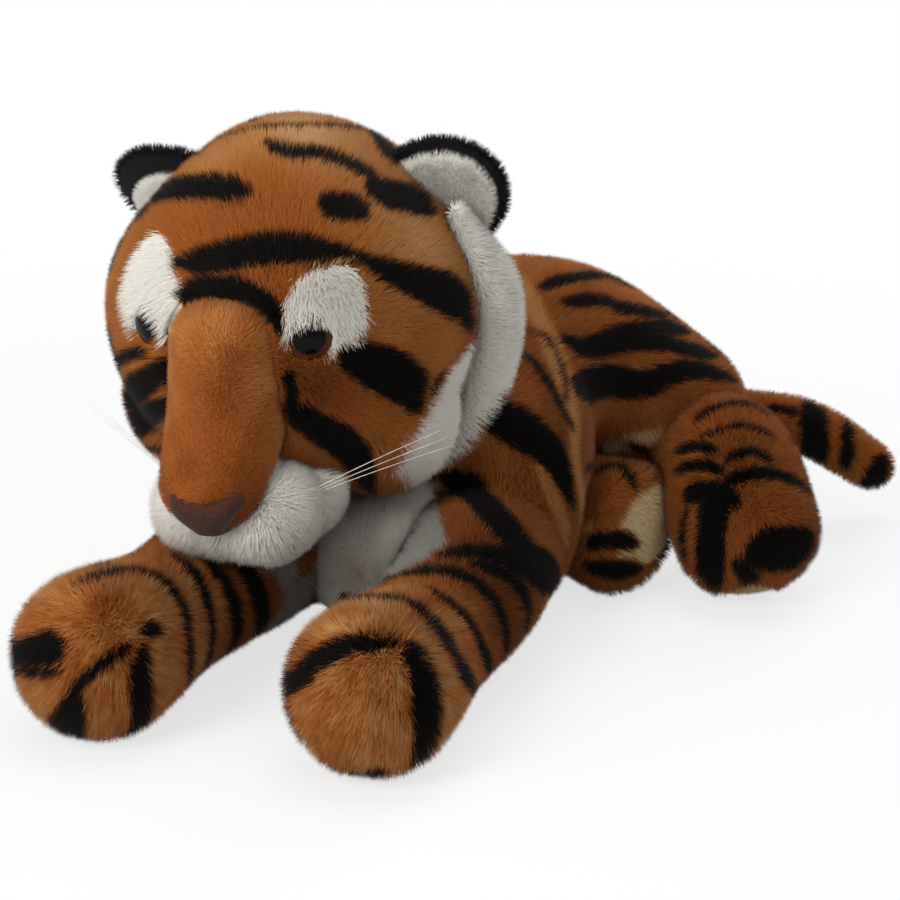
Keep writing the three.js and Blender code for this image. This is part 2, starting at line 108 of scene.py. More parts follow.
def spline(points, shares):
    """Centripetal Catmull-Rom curve through points."""
    p = np.asarray(points, float)
    ends = np.vstack([2 * p[0] - p[1], p, 2 * p[-1] - p[-2]])
    last = len(p) - 1
    at = np.clip(np.asarray(shares, float), 0, 1) * last
    i = np.minimum(at.astype(int), last - 1)
    w = (at - i)[:, None]
    p0, p1, p2, p3 = ends[i], ends[i + 1], ends[i + 2], ends[i + 3]
    pairs = ((p0, p1), (p1, p2), (p2, p3))
    d0, d1, d2 = (np.maximum(((a - b) ** 2).sum(1) ** 0.25, 1e-4)[:, None] for a, b in pairs)
    t1 = ((p1 - p0) / d0 - (p2 - p0) / (d0 + d1) + (p2 - p1) / d1) * d1
    t2 = ((p2 - p1) / d1 - (p3 - p1) / (d1 + d2) + (p3 - p2) / d2) * d1
    return p1 + t1 * w + (3 * (p2 - p1) - 2 * t1 - t2) * w**2 + (2 * (p1 - p2) + t1 + t2) * w**3


def along(points, shares):
    """Directions of that curve."""
    shares = np.asarray(shares, float)
    return unit(spline(points, np.minimum(shares + 1e-4, 1)) - spline(points, np.maximum(shares - 1e-4, 0)))


def soft_form(path, widths, heights, start, end, grow, count=40, steps=28, caps=7):
    """Oval rings along a smooth path, closed by a rounded cap at each end: points and faces."""
    shares = np.linspace(0, 1, steps + 1)
    angles = np.pi / 2 * np.arange(1, caps + 1) / (caps + 1)
    at = np.concatenate([np.zeros(caps), shares, np.ones(caps)])
    shrink = np.concatenate([np.sin(angles), np.ones(steps + 1), np.cos(angles)])
    before, after = -(start + grow) * np.cos(angles), (end + grow) * np.sin(angles)
    push = np.concatenate([before, np.zeros(steps + 1), after])
    tangents = along(path, at)
    wide = unit(np.cross(tangents, [0, 0, 1]))
    high = np.cross(wide, tangents)
    size = spline([(w, h, i * widths[0]) for i, (w, h) in enumerate(zip(widths, heights))], at)
    centre = spline(path, at) + tangents * push[:, None]
    turn = 2 * np.pi * np.arange(count) / count
    x = ((size[:, 0] + grow) * shrink)[:, None] * np.cos(turn)
    y = ((size[:, 1] + grow) * shrink)[:, None] * np.sin(turn)
    rings = centre[:, None] + wide[:, None] * x[..., None] + high[:, None] * y[..., None]
    first = spline(path, [0])[0] - along(path, [0])[0] * (start + grow)
    last = spline(path, [1])[0] + along(path, [1])[0] * (end + grow)
    return np.vstack([first, rings.reshape(-1, 3), last]), ring_faces(len(at), count)


def ring_faces(rows, count):
    last = 1 + rows * count
    faces = []
    for i in range(count):
        j = (i + 1) % count
        faces.append((0, 1 + j, 1 + i))
        faces.append((last, last - count + i, last - count + j))
        for row in range(rows - 1):
            a, b = 1 + row * count, 1 + (row + 1) * count
            faces.append((a + i, a + j, b + j, b + i))
    return faces


def ball(width, depth, height, centre, grow, count=40, rows=21):
    """An egg of these sizes, grown by grow all round: points and faces."""
    lift = np.pi * np.arange(1, rows + 1) / (rows + 1)
    turn = 2 * np.pi * np.arange(count) / count
    x = np.sin(lift)[:, None] * np.cos(turn)
    y = np.sin(lift)[:, None] * np.sin(turn)
    z = np.repeat(np.cos(lift)[:, None], count, 1)
    points = np.vstack([[0, 0, 1], np.stack([x, y, z], -1).reshape(-1, 3), [0, 0, -1]])
    half = np.array([width, depth, height]) / 2 + grow
    return points * half + np.asarray(centre, float), ring_faces(rows, count)


def placed(form, mover):
    return mover(form[0]), form[1]


# The tiger's forms, in millimetres: shares of the sizes above and of these
TORSO_WIDE, TORSO_HIGH = 94, 101
TORSO_CAPS = (26, 24)
CHEST_SIZE, BELLY_SIZE = (62, 90, 54), np.array([84, 130, 112])
FORELEG_LONG, FORELEG_THICK = 120, 44
HINDLEG_LONG, HINDLEG_THICK = 60, 46
TAIL_LONG, TAIL_THICK = 62, 20
PRESSED_IN = 0.5
torso_shares = [[-0.03, 0.65, 0.25], [-0.01, 0.77, 0.325], [0.07, 0.9, 0.35], [0.195, 1.06, 0.215]]
torso_path = np.array(torso_shares) * TORSO
torso_widths = np.array([0.5, 0.46, 0.37, 0.36]) * TORSO_WIDE
torso_heights = np.array([0.5, 0.38, 0.29, 0.29]) * TORSO_HIGH
chest_at = np.array([-0.06, 0.595, 0.12]) * TORSO
belly_at = np.array([-0.05, 0.6, 0.04]) * TORSO
belly_half = BELLY_SIZE / 2
shoulders = {"left": np.array([0.085, 0.625, 0.21]) * TORSO, "right": np.array([-0.195, 0.6, 0.21]) * TORSO}
hips = {"left": np.array([0.28, 1.01, 0.175]) * TORSO, "right": np.array([0.03, 0.99, 0.17]) * TORSO}
tail_root = np.array([0.28, 1.15, 0.205]) * TORSO
SIDES = (("left", 1), ("right", -1))


def limb_path(root, length, thickness, shares, widths, side):
    """Places along a limb from its root; one without a height of its own rests on the floor."""
    path = []
    for place, width in zip(shares, widths):
        at = root + np.array([side * place[0], place[1], place[2] if len(place) > 2 else 0]) * length
        if len(place) == 2:
            at[2] = width * thickness - PRESSED_IN
        path.append(at)
    return np.array(path)


limbs = {}
for name, side in SIDES:
    widths = [0.5, 0.5, 0.44, 0.52]
    shares = [[0, -0.04, -0.12], [0.06, -0.38, -0.14], [0.08, -0.68, -0.165], [0.09, -1.02]]
    limbs["foreleg_" + name] = {
        "root": shoulders[name],
        "ball": (50, 50, 88),
        "path": limb_path(shoulders[name], FORELEG_LONG, FORELEG_THICK, shares, widths, side),
        "sizes": np.array(widths) * FORELEG_THICK,
        "caps": (12.5, 19),
    }
hind_shares = {
    "left": [[0, 0, 0], [0.22, -0.3, 0.02], [0.44, -0.6, -0.235]],
    "right": [[0, 0, 0], [0.26, -0.48, -0.17], [0.66, -0.68]],
}
hind_widths = {"left": [0.42, 0.5, 0.5], "right": [0.4, 0.4, 0.48]}
for name, bulge in (("left", 17), ("right", 9)):
    limbs["hindleg_" + name] = {
        "root": hips[name],
        "ball": (42, 42, 42),
        "path": limb_path(hips[name], HINDLEG_LONG, HINDLEG_THICK, hind_shares[name], hind_widths[name], 1),
        "sizes": np.array(hind_widths[name]) * HINDLEG_THICK,
        "caps": (10.5, bulge),
    }
tail_shares = [[0, 0, 0], [0.38, 0.26, -0.1], [0.68, 0.5, -0.34]]
tail_widths = [0.48, 0.5, 0.45]
limbs["tail"] = {
    "root": tail_root,
    "ball": (22, 22, 22),
    "path": limb_path(tail_root, TAIL_LONG, TAIL_THICK, tail_shares, tail_widths, 1),
    "sizes": np.array(tail_widths) * TAIL_THICK,
    "caps": (5.5, 10),
}


def limb_forms(limb, grow):
    swept = soft_form(limb["path"], limb["sizes"], limb["sizes"], *limb["caps"], grow)
    return [ball(*limb["ball"], limb["root"], grow), swept]


def torso_forms(grow):
    swept = soft_form(torso_path, torso_widths, torso_heights, *TORSO_CAPS, grow)
    return [swept, ball(*CHEST_SIZE, chest_at, grow)]


# The head's small forms, in its own frame; sizes in millimetres, places as shares of HEAD
JOWL_SIZE, JOWL_SHARES = (48, 46, 52), [0.25, -0.18, -0.2]
BRIDGE_LONG, BRIDGE_WIDE, BRIDGE_HIGH, BRIDGE_CAP = 66, 32, 29, 13
bridge_path = np.array([[-0.01, -0.585, 0.35], [-0.02, -0.75, 0.08], [-0.03, -1.01, -0.08]]) * BRIDGE_LONG
bridge_widths = np.array([0.5, 0.53, 0.48]) * BRIDGE_WIDE
bridge_heights = np.array([0.5, 0.5, 0.44]) * BRIDGE_HIGH
LIP_BALLS = [
    ((32, 34, 30), [0.094, -0.57, -0.185]),
    ((26, 28, 27), [0.04, -0.59, -0.2]),
    ((28, 32, 25), [0.12, -0.45, -0.25]),
]


def head_ball(size, shares, side, grow):
    return placed(ball(*size, np.array(shares) * [side, 1, 1] * HEAD, grow), from_head)


def head_forms(grow):
    jowls = [head_ball(JOWL_SIZE, JOWL_SHARES, side, grow) for _, side in SIDES]
    return [placed(ball(HEAD, HEAD, HEAD, (0, 0, 0), grow, 64, 33), from_head), *jowls]


def bridge_forms(grow):
    form = soft_form(bridge_path, bridge_widths, bridge_heights, BRIDGE_CAP, BRIDGE_CAP, grow)
    return [placed(form, from_head)]


def lip_forms(side, grow):
    return [head_ball(size, shares, side, grow) for size, shares in LIP_BALLS]


RUFF_WIDE, RUFF_CAPS, FAR_RUFF_SHARE = 15, (5, 6), 0.93
ruff_shares = np.array([[0.44, 0.18, 0.19], [0.5, 0.115, -0.08], [0.42, -0.055, -0.34], [0.29, -0.15, -0.43]])
ruff_widths = np.array([0.3, 0.56, 0.5, 0.3]) * RUFF_WIDE


def ruff_forms(side, grow):
    path = ruff_shares * [side if side > 0 else -FAR_RUFF_SHARE, 1, 1] * HEAD
    return [placed(soft_form(path, ruff_widths, ruff_widths, *RUFF_CAPS, grow, 24), from_head)]


ear_places = {"left": np.array([0.35, 0.28, 0.15]) * HEAD, "right": np.array([-0.4, 0.3, 0.06]) * HEAD}
ear_tilts = {"left": 43, "right": -64}


def ear_mover(name):
    """Moves points from an ear's own frame, with the ear upright, to the work frame."""
    lean = turn_about((0, 1, 0), ear_tilts[name])
    return lambda points: from_head(np.asarray(points) @ lean.T + ear_places[name])


def link(obj):
    scene.collection.objects.link(obj)
    return obj


def to_row(points):
    return (np.asarray(points, float) + shift) * MM


def to_work(points):
    return np.asarray(points, float) / MM - shift


def make(name, points, faces, material=None):
    mesh = bpy.data.meshes.new(name)
    mesh.from_pydata(to_row(points).tolist(), [], faces)
    mesh.update()
    mesh.polygons.foreach_set("use_smooth", [True] * len(mesh.polygons))
    obj = link(bpy.data.objects.new(name, mesh))
    if material:
        mesh.materials.append(material)
    return obj


def evened(name, forms, voxel, passes=6):
    """One even skin over several closed forms that run into each other."""
    points, faces, base = [], [], 0
    for form in forms:
        points.append(form[0])
        faces += [tuple(base + i for i in face) for face in form[1]]
        base += len(form[0])
    rough = make(name + "_rough", np.vstack(points), faces)
    remesh = rough.modifiers.new("even", "REMESH")
    remesh.mode, remesh.voxel_size = "VOXEL", voxel * MM
    smooth = rough.modifiers.new("smooth", "SMOOTH")
    smooth.factor, smooth.iterations = 0.5, passes
    seen = rough.evaluated_get(bpy.context.evaluated_depsgraph_get())
    mesh = bpy.data.meshes.new_from_object(seen)
    mesh.name = name
    bpy.data.objects.remove(rough)
    return mesh


def read_mesh(mesh):
    """Points in the work frame, normals and triangles."""
    points = np.empty(len(mesh.vertices) * 3, np.float32)
    mesh.vertices.foreach_get("co", points)
    normals = np.empty(len(mesh.vertices) * 3, np.float32)
    mesh.vertices.foreach_get("normal", normals)
    mesh.calc_loop_triangles()
    tris = np.empty(len(mesh.loop_triangles) * 3, np.int32)
    mesh.loop_triangles.foreach_get("vertices", tris)
    return to_work(points.reshape(-1, 3)), normals.reshape(-1, 3).astype(float), tris.reshape(-1, 3)


def lattice(cells, seed):
    """Repeatable random values, three for each cell of a lattice."""
    primes = (73856093, 19349663, 83492791)
    h = seed * 2654435761
    for axis, prime in enumerate(primes):
        h = h ^ (cells[..., axis] * prime)
    h = h & 0xFFFFFFFF
    h = ((h >> 16) ^ h) * 0x45D9F3B & 0xFFFFFFFF
    h = ((h >> 16) ^ h) * 0x45D9F3B & 0xFFFFFFFF
    h = (h >> 16) ^ h
    parts = [(h >> s) & 0x3FF for s in (0, 10, 20)]
    return np.stack(parts, -1) / 511.5 - 1


def noise(points, size, seed):
    """Smooth vectors between -1 and 1 that change over size millimetres."""
    at = points / size + 500
    cell = np.floor(at).astype(np.int64)
    w = at - cell
    w = w * w * (3 - 2 * w)
    total = np.zeros_like(points)
    for dx in (0, 1):
        for dy in (0, 1):
            for dz in (0, 1):
                share = np.abs(1 - dx - w[:, 0]) * np.abs(1 - dy - w[:, 1]) * np.abs(1 - dz - w[:, 2])
                total += lattice(cell + [dx, dy, dz], seed) * share[:, None]
    return total


def ramp(nodes, stops, interpolation="LINEAR"):
    node = nodes.new("ShaderNodeValToRGB")
    node.color_ramp.interpolation = interpolation
    while len(node.color_ramp.elements) < len(stops):
        node.color_ramp.elements.new(0.5)
    for element, (at, colour) in zip(node.color_ramp.elements, stops):
        element.position = at
        element.color = (*colour, 1)
    return node


def linear(r, g, b):
    """A colour as it shows on a screen, in the light that materials work in."""
    return tuple(((c / 255 + 0.055) / 1.055) ** 2.4 if c > 10 else c / 255 / 12.92 for c in (r, g, b))


def start_material(name, **sockets):
    material = bpy.data.materials.new(name)
    material.use_nodes = True
    nodes, links = material.node_tree.nodes, material.node_tree.links
    shader = nodes["Principled BSDF"]
    for key, value in sockets.items():
        shader.inputs[key.replace("_", " ")].default_value = value
    return material, nodes, links, shader


def map_parts(nodes, links):
    """The pieces' own map: the palette place along X, and root to tip along Y."""
    uv = nodes.new("ShaderNodeUVMap")
    uv.uv_map = "OFBake"
    parts = nodes.new("ShaderNodeSeparateXYZ")
    links.new(uv.outputs["UV"], parts.inputs["Vector"])
    return parts


def pile_material(name, stops, root, tip=1.0):
    """Pile whose colour comes from its strand, with root and tip as shares of the palette's light."""
    look = {"Specular_IOR_Level": 0.1, "Sheen_Weight": 0.04, "Sheen_Roughness": 0.5}
    material, nodes, links, shader = start_material(name, **look)
    parts = map_parts(nodes, links)
    palette = ramp(nodes, stops)
    links.new(parts.outputs["X"], palette.inputs["Fac"])
    depth = ramp(nodes, [(0.0, (root,) * 3), (0.45, (0.5 * (root + tip),) * 3), (1.0, (tip,) * 3)])
    links.new(parts.outputs["Y"], depth.inputs["Fac"])
    mix = nodes.new("ShaderNodeMix")
    mix.data_type, mix.blend_type = "RGBA", "MULTIPLY"
    mix.inputs["Factor"].default_value = 1
    links.new(palette.outputs["Color"], mix.inputs["A"])
    links.new(depth.outputs["Color"], mix.inputs["B"])
    links.new(mix.outputs["Result"], shader.inputs["Base Color"])
    rough = nodes.new("ShaderNodeMapRange")
    rough.inputs["To Min"].default_value, rough.inputs["To Max"].default_value = 1.0, 0.75
    links.new(parts.outputs["Y"], rough.inputs["Value"])
    links.new(rough.outputs["Result"], shader.inputs["Roughness"])
    return material


# Palette places of the striped pile
BLACK, DARK, RUST, ORANGE, TAN, PALE, WHITE = 0.0, 0.12, 0.3, 0.5, 0.68, 0.8, 1.0
striped = pile_material(
    "striped_pile",
    [
        (BLACK, linear(11, 10, 9)),
        (DARK, linear(46, 33, 22)),
        (RUST, linear(124, 64, 24)),
        (ORANGE, linear(170, 98, 40)),
        (TAN, linear(194, 138, 80)),
        (PALE, linear(212, 174, 126)),
        (WHITE, linear(232, 228, 217)),
    ],
    0.7,
)
white_stops = [(0.0, linear(30, 27, 25)), (0.5, linear(206, 201, 190)), (1.0, linear(244, 241, 231))]
white_pile = pile_material("white_pile", white_stops, 0.92)
black_pile = pile_material("black_pile", [(0.0, linear(8, 8, 10)), (1.0, linear(34, 32, 34))], 0.6)
shorn_stops = [(0.0, linear(140, 74, 28)), (0.5, linear(174, 102, 45)), (1.0, linear(204, 142, 82))]
shorn_pile = pile_material("shorn_pile", shorn_stops, 0.72)
cream_pile = pile_material("cream_pile", [(0.0, linear(206, 176, 124)), (1.0, linear(244, 218, 168))], 0.85)


def grained_material(name, low, high, size, bump, roughness, **sockets):
    """A plain surface with fine grain in its colour, height and roughness."""
    material, nodes, links, shader = start_material(name, **sockets)
    where = nodes.new("ShaderNodeTexCoord")
    grain = nodes.new("ShaderNodeTexNoise")
    grain.inputs["Scale"].default_value = 1 / (size * MM)
    grain.inputs["Detail"].default_value = 4
    links.new(where.outputs["Object"], grain.inputs["Vector"])
    tone = ramp(nodes, [(0.35, low), (0.65, high)])
    links.new(grain.outputs["Fac"], tone.inputs["Fac"])
    links.new(tone.outputs["Color"], shader.inputs["Base Color"])
    rough = nodes.new("ShaderNodeMapRange")
    rough.inputs["To Min"].default_value, rough.inputs["To Max"].default_value = roughness
    links.new(grain.outputs["Fac"], rough.inputs["Value"])
    links.new(rough.outputs["Result"], shader.inputs["Roughness"])
    height = nodes.new("ShaderNodeBump")
    height.inputs["Strength"].default_value = 0.6
    height.inputs["Distance"].default_value = bump * MM
    links.new(grain.outputs["Fac"], height.inputs["Height"])
    links.new(height.outputs["Normal"], shader.inputs["Normal"])
    return material


velour_look = {"Specular_IOR_Level": 0.15, "Sheen_Weight": 0.1}
velour_tones = (linear(50, 29, 22), linear(72, 44, 34))
velour = grained_material("nose_velour", *velour_tones, 0.5, 0.35, (0.8, 0.98), **velour_look)
washer_tones = (linear(214, 210, 198), linear(232, 229, 220))
washer_plastic = grained_material("washer_plastic", *washer_tones, 2.0, 0.05, (0.4, 0.6))
fibre = grained_material("stuffing_fibre", linear(214, 212, 205), linear(240, 239, 235), 1.2, 0.8, (0.9, 1.0))
nylon = grained_material("whisker_nylon", linear(206, 202, 192), linear(232, 229, 222), 3.0, 0.02, (0.2, 0.4))

# A black pupil in a brown ring
eye_gloss, nodes, links, shader = start_material("eye_gloss", Roughness=0.14, Specular_IOR_Level=0.1)
parts = map_parts(nodes, links)
rings = ramp(
    nodes,
    [
        (0.0, linear(4, 4, 4)),
        (0.62, linear(6, 4, 4)),
        (0.7, linear(66, 32, 22)),
        (0.9, linear(86, 44, 32)),
        (1.0, linear(40, 20, 15)),
    ],
)
links.new(parts.outputs["X"], rings.inputs["Fac"])
links.new(rings.outputs["Color"], shader.inputs["Base Color"])

# Length that the pile adds to a hide, in millimetres
PILE, TAIL_PILE = 3.8, 3.2


class Body:
    """A stuffed form: its hide mesh, and the surface that the tips of its pile reach."""

    def __init__(self, name, body, forms, pile=PILE, voxel=1.8, clamp=1.2, shape=None):
        self.name, self.body, self.pile = name, body, pile
        self.mesh = evened(name, forms, voxel)
        points = read_mesh(self.mesh)[0]
        if shape:
            points = shape(points)
        points[:, 2] = np.maximum(points[:, 2], clamp)
        self.mesh.vertices.foreach_set("co", to_row(points).astype(np.float32).ravel())
        self.mesh.update()
        self.points, self.normals, self.tris = read_mesh(self.mesh)
        self.tips = self.points + self.normals * self.pile
        self.tip_tree = BVHTree.FromPolygons(self.tips.tolist(), self.tris.tolist())
        self.tree = BVHTree.FromPolygons(self.points.tolist(), self.tris.tolist())

    def depth_in(self, points):
        """How deep points lie inside this hide, below zero outside."""
        depth = np.full(len(points), -1e3)
        low, high = self.points.min(0) - 1, self.points.max(0) + 1
        near = np.where(((points > low) & (points < high)).all(1))[0]
        for i in near:
            at, normal, _, distance = self.tree.find_nearest(Vector(points[i]))
            inside = (Vector(points[i]) - at).dot(normal) < 0
            depth[i] = distance if inside else -distance
        return depth


def cast(hides, pixels, reach=6.0):
    """Where rays of the photograph's camera meet the pile, or pass it within reach."""
    found = []
    for x, y in pixels:
        ray = pixel_ray(x, y)
        hits = [hide.tip_tree.ray_cast(Vector(cam_at), Vector(ray)) for hide in hides]
        hits = [(distance, np.array(at)) for at, _, _, distance in hits if at is not None]
        if not hits:
            for hide in hides:
                off = hide.tips - cam_at
                away = np.linalg.norm(off - np.outer(off @ ray, ray), axis=1)
                if away.min() < reach:
                    hits.append((away.min(), hide.tips[away.argmin()]))
        if hits:
            found.append(min(hits, key=lambda hit: hit[0])[1])
    return np.array(found)


# The crown is flattened where it runs into the ears: way from the head's middle, and depth in millimetres
EAR_DENTS = (((-0.73, 0.31, 0.61), 7.0), ((0.7, 0.28, 0.66), 4.5))
DENT_REACH = 0.42


def dented(points):
    local = to_head(points)
    way = unit(local)
    for direction, deep in EAR_DENTS:
        turn = np.arccos(np.clip(way @ unit(direction), -1, 1))
        local = local - way * (deep * np.exp(-((turn / DENT_REACH) ** 2)))[:, None]
    return from_head(local)


bodies = {
    "torso": Body("torso_hide", "torso", torso_forms(-PILE)),
    "head": Body("head_hide", "head", head_forms(-PILE), shape=dented),
}
for name, limb in limbs.items():
    pile = TAIL_PILE if name == "tail" else PILE
    bodies[name] = Body(name + "_hide", name, limb_forms(limb, -pile), pile)


# Stripes of the photograph, in its pixels: places along a stripe, its width and, where it isn't black, its
# palette place; True last carries it over the back
STRIPES = {
    "head": [
        ([(227, 134), (250, 126), (290, 123), (340, 124), (375, 127)], 8),
        ([(372, 128), (386, 142), (393, 156)], 24),
        ([(268, 140), (290, 148), (320, 150), (345, 158), (365, 168), (383, 180)], 18),
        ([(378, 190), (400, 195), (428, 200)], 35),
        ([(332, 203), (360, 205)], 27),
        ([(146, 190), (175, 186), (205, 184), (243, 189)], 26),
        ([(120, 228), (133, 214), (147, 206)], 15),
        ([(174, 262), (215, 256), (255, 247), (300, 246), (340, 250), (361, 256)], [20, 26, 28, 26, 14, 10]),
        ([(355, 252), (380, 265), (405, 276), (440, 289), (470, 304)], [10, 16, 26, 36, 40]),
        ([(462, 312), (474, 326)], 16),
        ([(178, 296), (205, 289), (240, 290), (264, 305), (281, 330)], [28, 24, 20, 20, 16]),
        ([(180, 292), (183, 318)], 16),
        ([(345, 352), (368, 364), (395, 376), (416, 392), (420, 412)], [24, 34, 40, 34, 14]),
        ([(288, 374), (292, 396), (293, 418)], 10),
        ([(290, 412), (315, 428), (340, 444), (360, 470), (368, 508)], [22, 28, 32, 24, 10]),
        ([(445, 374), (434, 394)], 8),
        ([(112, 366), (128, 356), (143, 352)], 10),
        ([(118, 405), (138, 388), (158, 372), (168, 358)], [26, 24, 18, 12]),
        ([(124, 432), (145, 417), (166, 404)], [26, 26, 18]),
        ([(130, 458), (160, 452)], 7),
    ],
    "foreleg_left": [
        ([(281, 690), (300, 672), (318, 656), (338, 645), (365, 639), (398, 638)], [20, 21, 20, 18, 16, 10]),
        ([(412, 642), (422, 662), (429, 690), (431, 720), (429, 745), (424, 772)], [14, 20, 26, 26, 24, 20]),
        ([(342, 775), (365, 776), (384, 770)], 12),
        (
            [(340, 604), (360, 598), (380, 596), (402, 598), (421, 608), (438, 626)]
            + [(452, 648), (462, 668), (475, 693)],
            [8, 11, 13, 14, 17, 20, 20, 17, 12],
        ),
        ([(432, 585), (450, 598), (466, 613), (478, 631), (487, 652), (491, 672)], [8, 12, 13, 12, 11, 9]),
        (
            [(385, 580), (405, 571), (430, 566), (455, 569), (475, 577), (492, 592)]
            + [(504, 612), (509, 636), (508, 655)],
            [11, 13, 13, 12, 11, 11, 11, 10, 8],
        ),
        ([(474, 561), (497, 566), (515, 577), (527, 592), (531, 612), (528, 632)], [8, 11, 11, 11, 10, 7]),
        ([(440, 551), (465, 547), (490, 549), (514, 557), (534, 570), (547, 590)], [9, 14, 17, 20, 20, 16]),
        (
            [(432, 480), (458, 485), (482, 496), (502, 516), (522, 540), (540, 562), (556, 585)],
            [12, 17, 24, 34, 40, 36, 28],
        ),
    ],
    "foreleg_right": [
        ([(11, 655), (30, 651), (54, 647)], [14, 23, 27]),
        ([(8, 668), (30, 672), (56, 672)], 5),
        ([(130, 647), (112, 659), (94, 672), (78, 686), (68, 702)], 5),
        ([(76, 696), (70, 716), (66, 740)], [9, 22, 31]),
        ([(151, 629), (158, 626)], 11),
        ([(147, 646), (142, 672), (143, 700), (142, 725), (131, 746)], [9, 16, 17, 17, 15]),
        (
            [(74, 582), (95, 574), (114, 570), (134, 568), (152, 571), (167, 580)]
            + [(178, 594), (186, 612), (190, 635), (192, 658), (188, 684)],
            [6, 7, 8, 8, 9, 11, 12, 12, 12, 12, 9],
        ),
        ([(176, 553), (198, 572), (210, 596), (215, 625), (213, 652), (204, 676)], [7, 10, 11, 11, 11, 9]),
        ([(206, 556), (227, 578), (238, 605), (240, 632), (231, 658)], [8, 12, 13, 13, 10]),
        # This last ring is partly a stripe and partly painted shade: it is drawn black where the back of the
        # arm lies in shade
        ([(238, 556), (256, 580), (264, 606), (260, 634)], [9, 14, 16, 12]),
    ],
    "torso": [
        ([(548, 598), (538, 622), (522, 650), (504, 672)], 12, TAN),
        ([(533, 452), (550, 480), (562, 512), (570, 545)], [6, 11, 12, 9], TAN - 0.06),
        (
            [(524, 276), (538, 310), (553, 342), (566, 378), (575, 418), (579, 465), (585, 530)],
            [12, 16, 19, 19, 16, 13, 12],
            TAN - 0.02,
        ),
        ([(522, 349), (539, 366), (553, 385), (564, 407), (575, 429)], 7),
        ([(494, 410), (515, 425), (540, 440), (558, 458), (570, 482), (576, 508)], [27, 28, 25, 21, 16, 9]),
        ([(542, 285), (561, 277), (583, 274), (606, 274), (622, 279), (633, 286)], 10, BLACK, True),
        ([(564, 300), (583, 299), (603, 297), (619, 304), (644, 309), (667, 313)], 11),
        (
            [(564, 336), (583, 346), (603, 341), (625, 332), (650, 328), (672, 325), (689, 329)],
            13,
            BLACK,
            True,
        ),
        ([(583, 352), (611, 346), (639, 341), (667, 341), (694, 348), (717, 353)], 12),
        (
            [(578, 385), (592, 386), (611, 382), (633, 386), (656, 382), (672, 374)]
            + [(694, 368), (717, 371), (736, 377)],
            [25, 22, 14, 10],
            BLACK,
            True,
        ),
        ([(533, 327), (550, 338), (561, 357), (567, 379), (569, 402)], 6, DARK),
    ],
    "hindleg_left": [
        ([(694, 417), (708, 406), (731, 400), (752, 402), (768, 412)], 9),
        ([(700, 433), (718, 426), (740, 422), (760, 425), (774, 434)], 5),
        ([(674, 449), (694, 443), (713, 447)], 9),
        ([(726, 456), (744, 449), (760, 450), (773, 458)], 8),
        ([(672, 471), (690, 464), (705, 463), (720, 469)], 9),
        ([(722, 481), (739, 474), (760, 470), (781, 473), (799, 480), (812, 492)], 11),
        ([(682, 496), (700, 489), (720, 491), (735, 501)], 16),
        ([(712, 496), (708, 525), (708, 555), (712, 590)], [28, 26, 25, 20]),
        ([(684, 505), (679, 535), (684, 565)], [6, 10, 8]),
        ([(764, 553), (785, 553), (808, 550)], [36, 40, 36]),
        ([(740, 566), (752, 584)], 16),
    ],
    "hindleg_right": [
        ([(586, 470), (603, 464), (621, 463), (632, 472), (638, 486)], 8),
        ([(625, 445), (640, 450), (652, 462), (657, 478)], 6),
        ([(588, 546), (614, 542), (640, 546)], 13),
        ([(586, 568), (612, 573), (642, 572)], 16),
    ],
    "tail": [
        ([(772, 405), (785, 406), (799, 411)], 9),
        ([(815, 404), (817, 430), (812, 464)], 26),
        ([(850, 422), (850, 440), (845, 470)], 14),
        ([(888, 458), (882, 474), (868, 490)], [18, 24, 24]),
    ],
}
# Palette place of the white bib's patches; the pile they pick out is drawn greyer than white, as painted
# shade
BIB = 0.94
PATCH_BLUR, STRIPE_BLUR, SEEN_FROM = 0.7, 1.2, 0.12
HEAD_PATCHES = {
    "far_brow": [
        *[(150, 226), (163, 234), (171, 262), (177, 290), (178, 318), (160, 338)],
        *[(138, 340), (122, 322), (116, 296), (122, 268), (134, 244)],
    ],
    "near_brow": [
        *[(358, 251), (366, 280), (373, 318), (362, 342), (345, 354), (328, 352)],
        *[(300, 349), (284, 334), (282, 305), (297, 276), (320, 262)],
    ],
    "cheek": [
        *[(487, 296), (484, 322), (472, 346), (456, 368), (442, 392), (428, 420), (412, 446)],
        *[(398, 474), (410, 490), (440, 492), (470, 470), (495, 420), (505, 360), (500, 310)],
    ],
}
BIB_PATCHES = {
    "far_foreleg": [(258, 566), (300, 556), (330, 575), (326, 618), (296, 616), (286, 594)],
    "near_foreleg": [
        *[(404, 478), (424, 488), (437, 508), (447, 538), (426, 556)],
        *[(396, 572), (368, 588), (352, 560), (378, 520)],
    ],
}
FLANK_PATCH = [(600, 446), (640, 434), (692, 425), (694, 434), (655, 444), (604, 456)]
# Stripes are drawn fuller than they look in the photograph, by these shares and pixels
FULLER_SHARES = {"head": 1.28, "torso": 1.62, "hindleg_left": 1.42, "hindleg_right": 1.5}
LIMB_FULLER_SHARE = 1.25
EXTRA_PIXELS = {"foreleg_left": 7.0, "foreleg_right": 7.0}
# Widths along a bar that the photograph doesn't show, and along the part of a stripe that crosses the back
BAR_SHARES = np.array([0.4, 0.9, 1.1, 1, 1.1, 0.8, 0.3])
CROSSING_SHARES = np.array([1, 1.1, 1.1, 0.9, 0.7, 0.8, 1, 1.1, 0.9])
CROSSING_LIFT, CROSSING_BOW = 12, 8


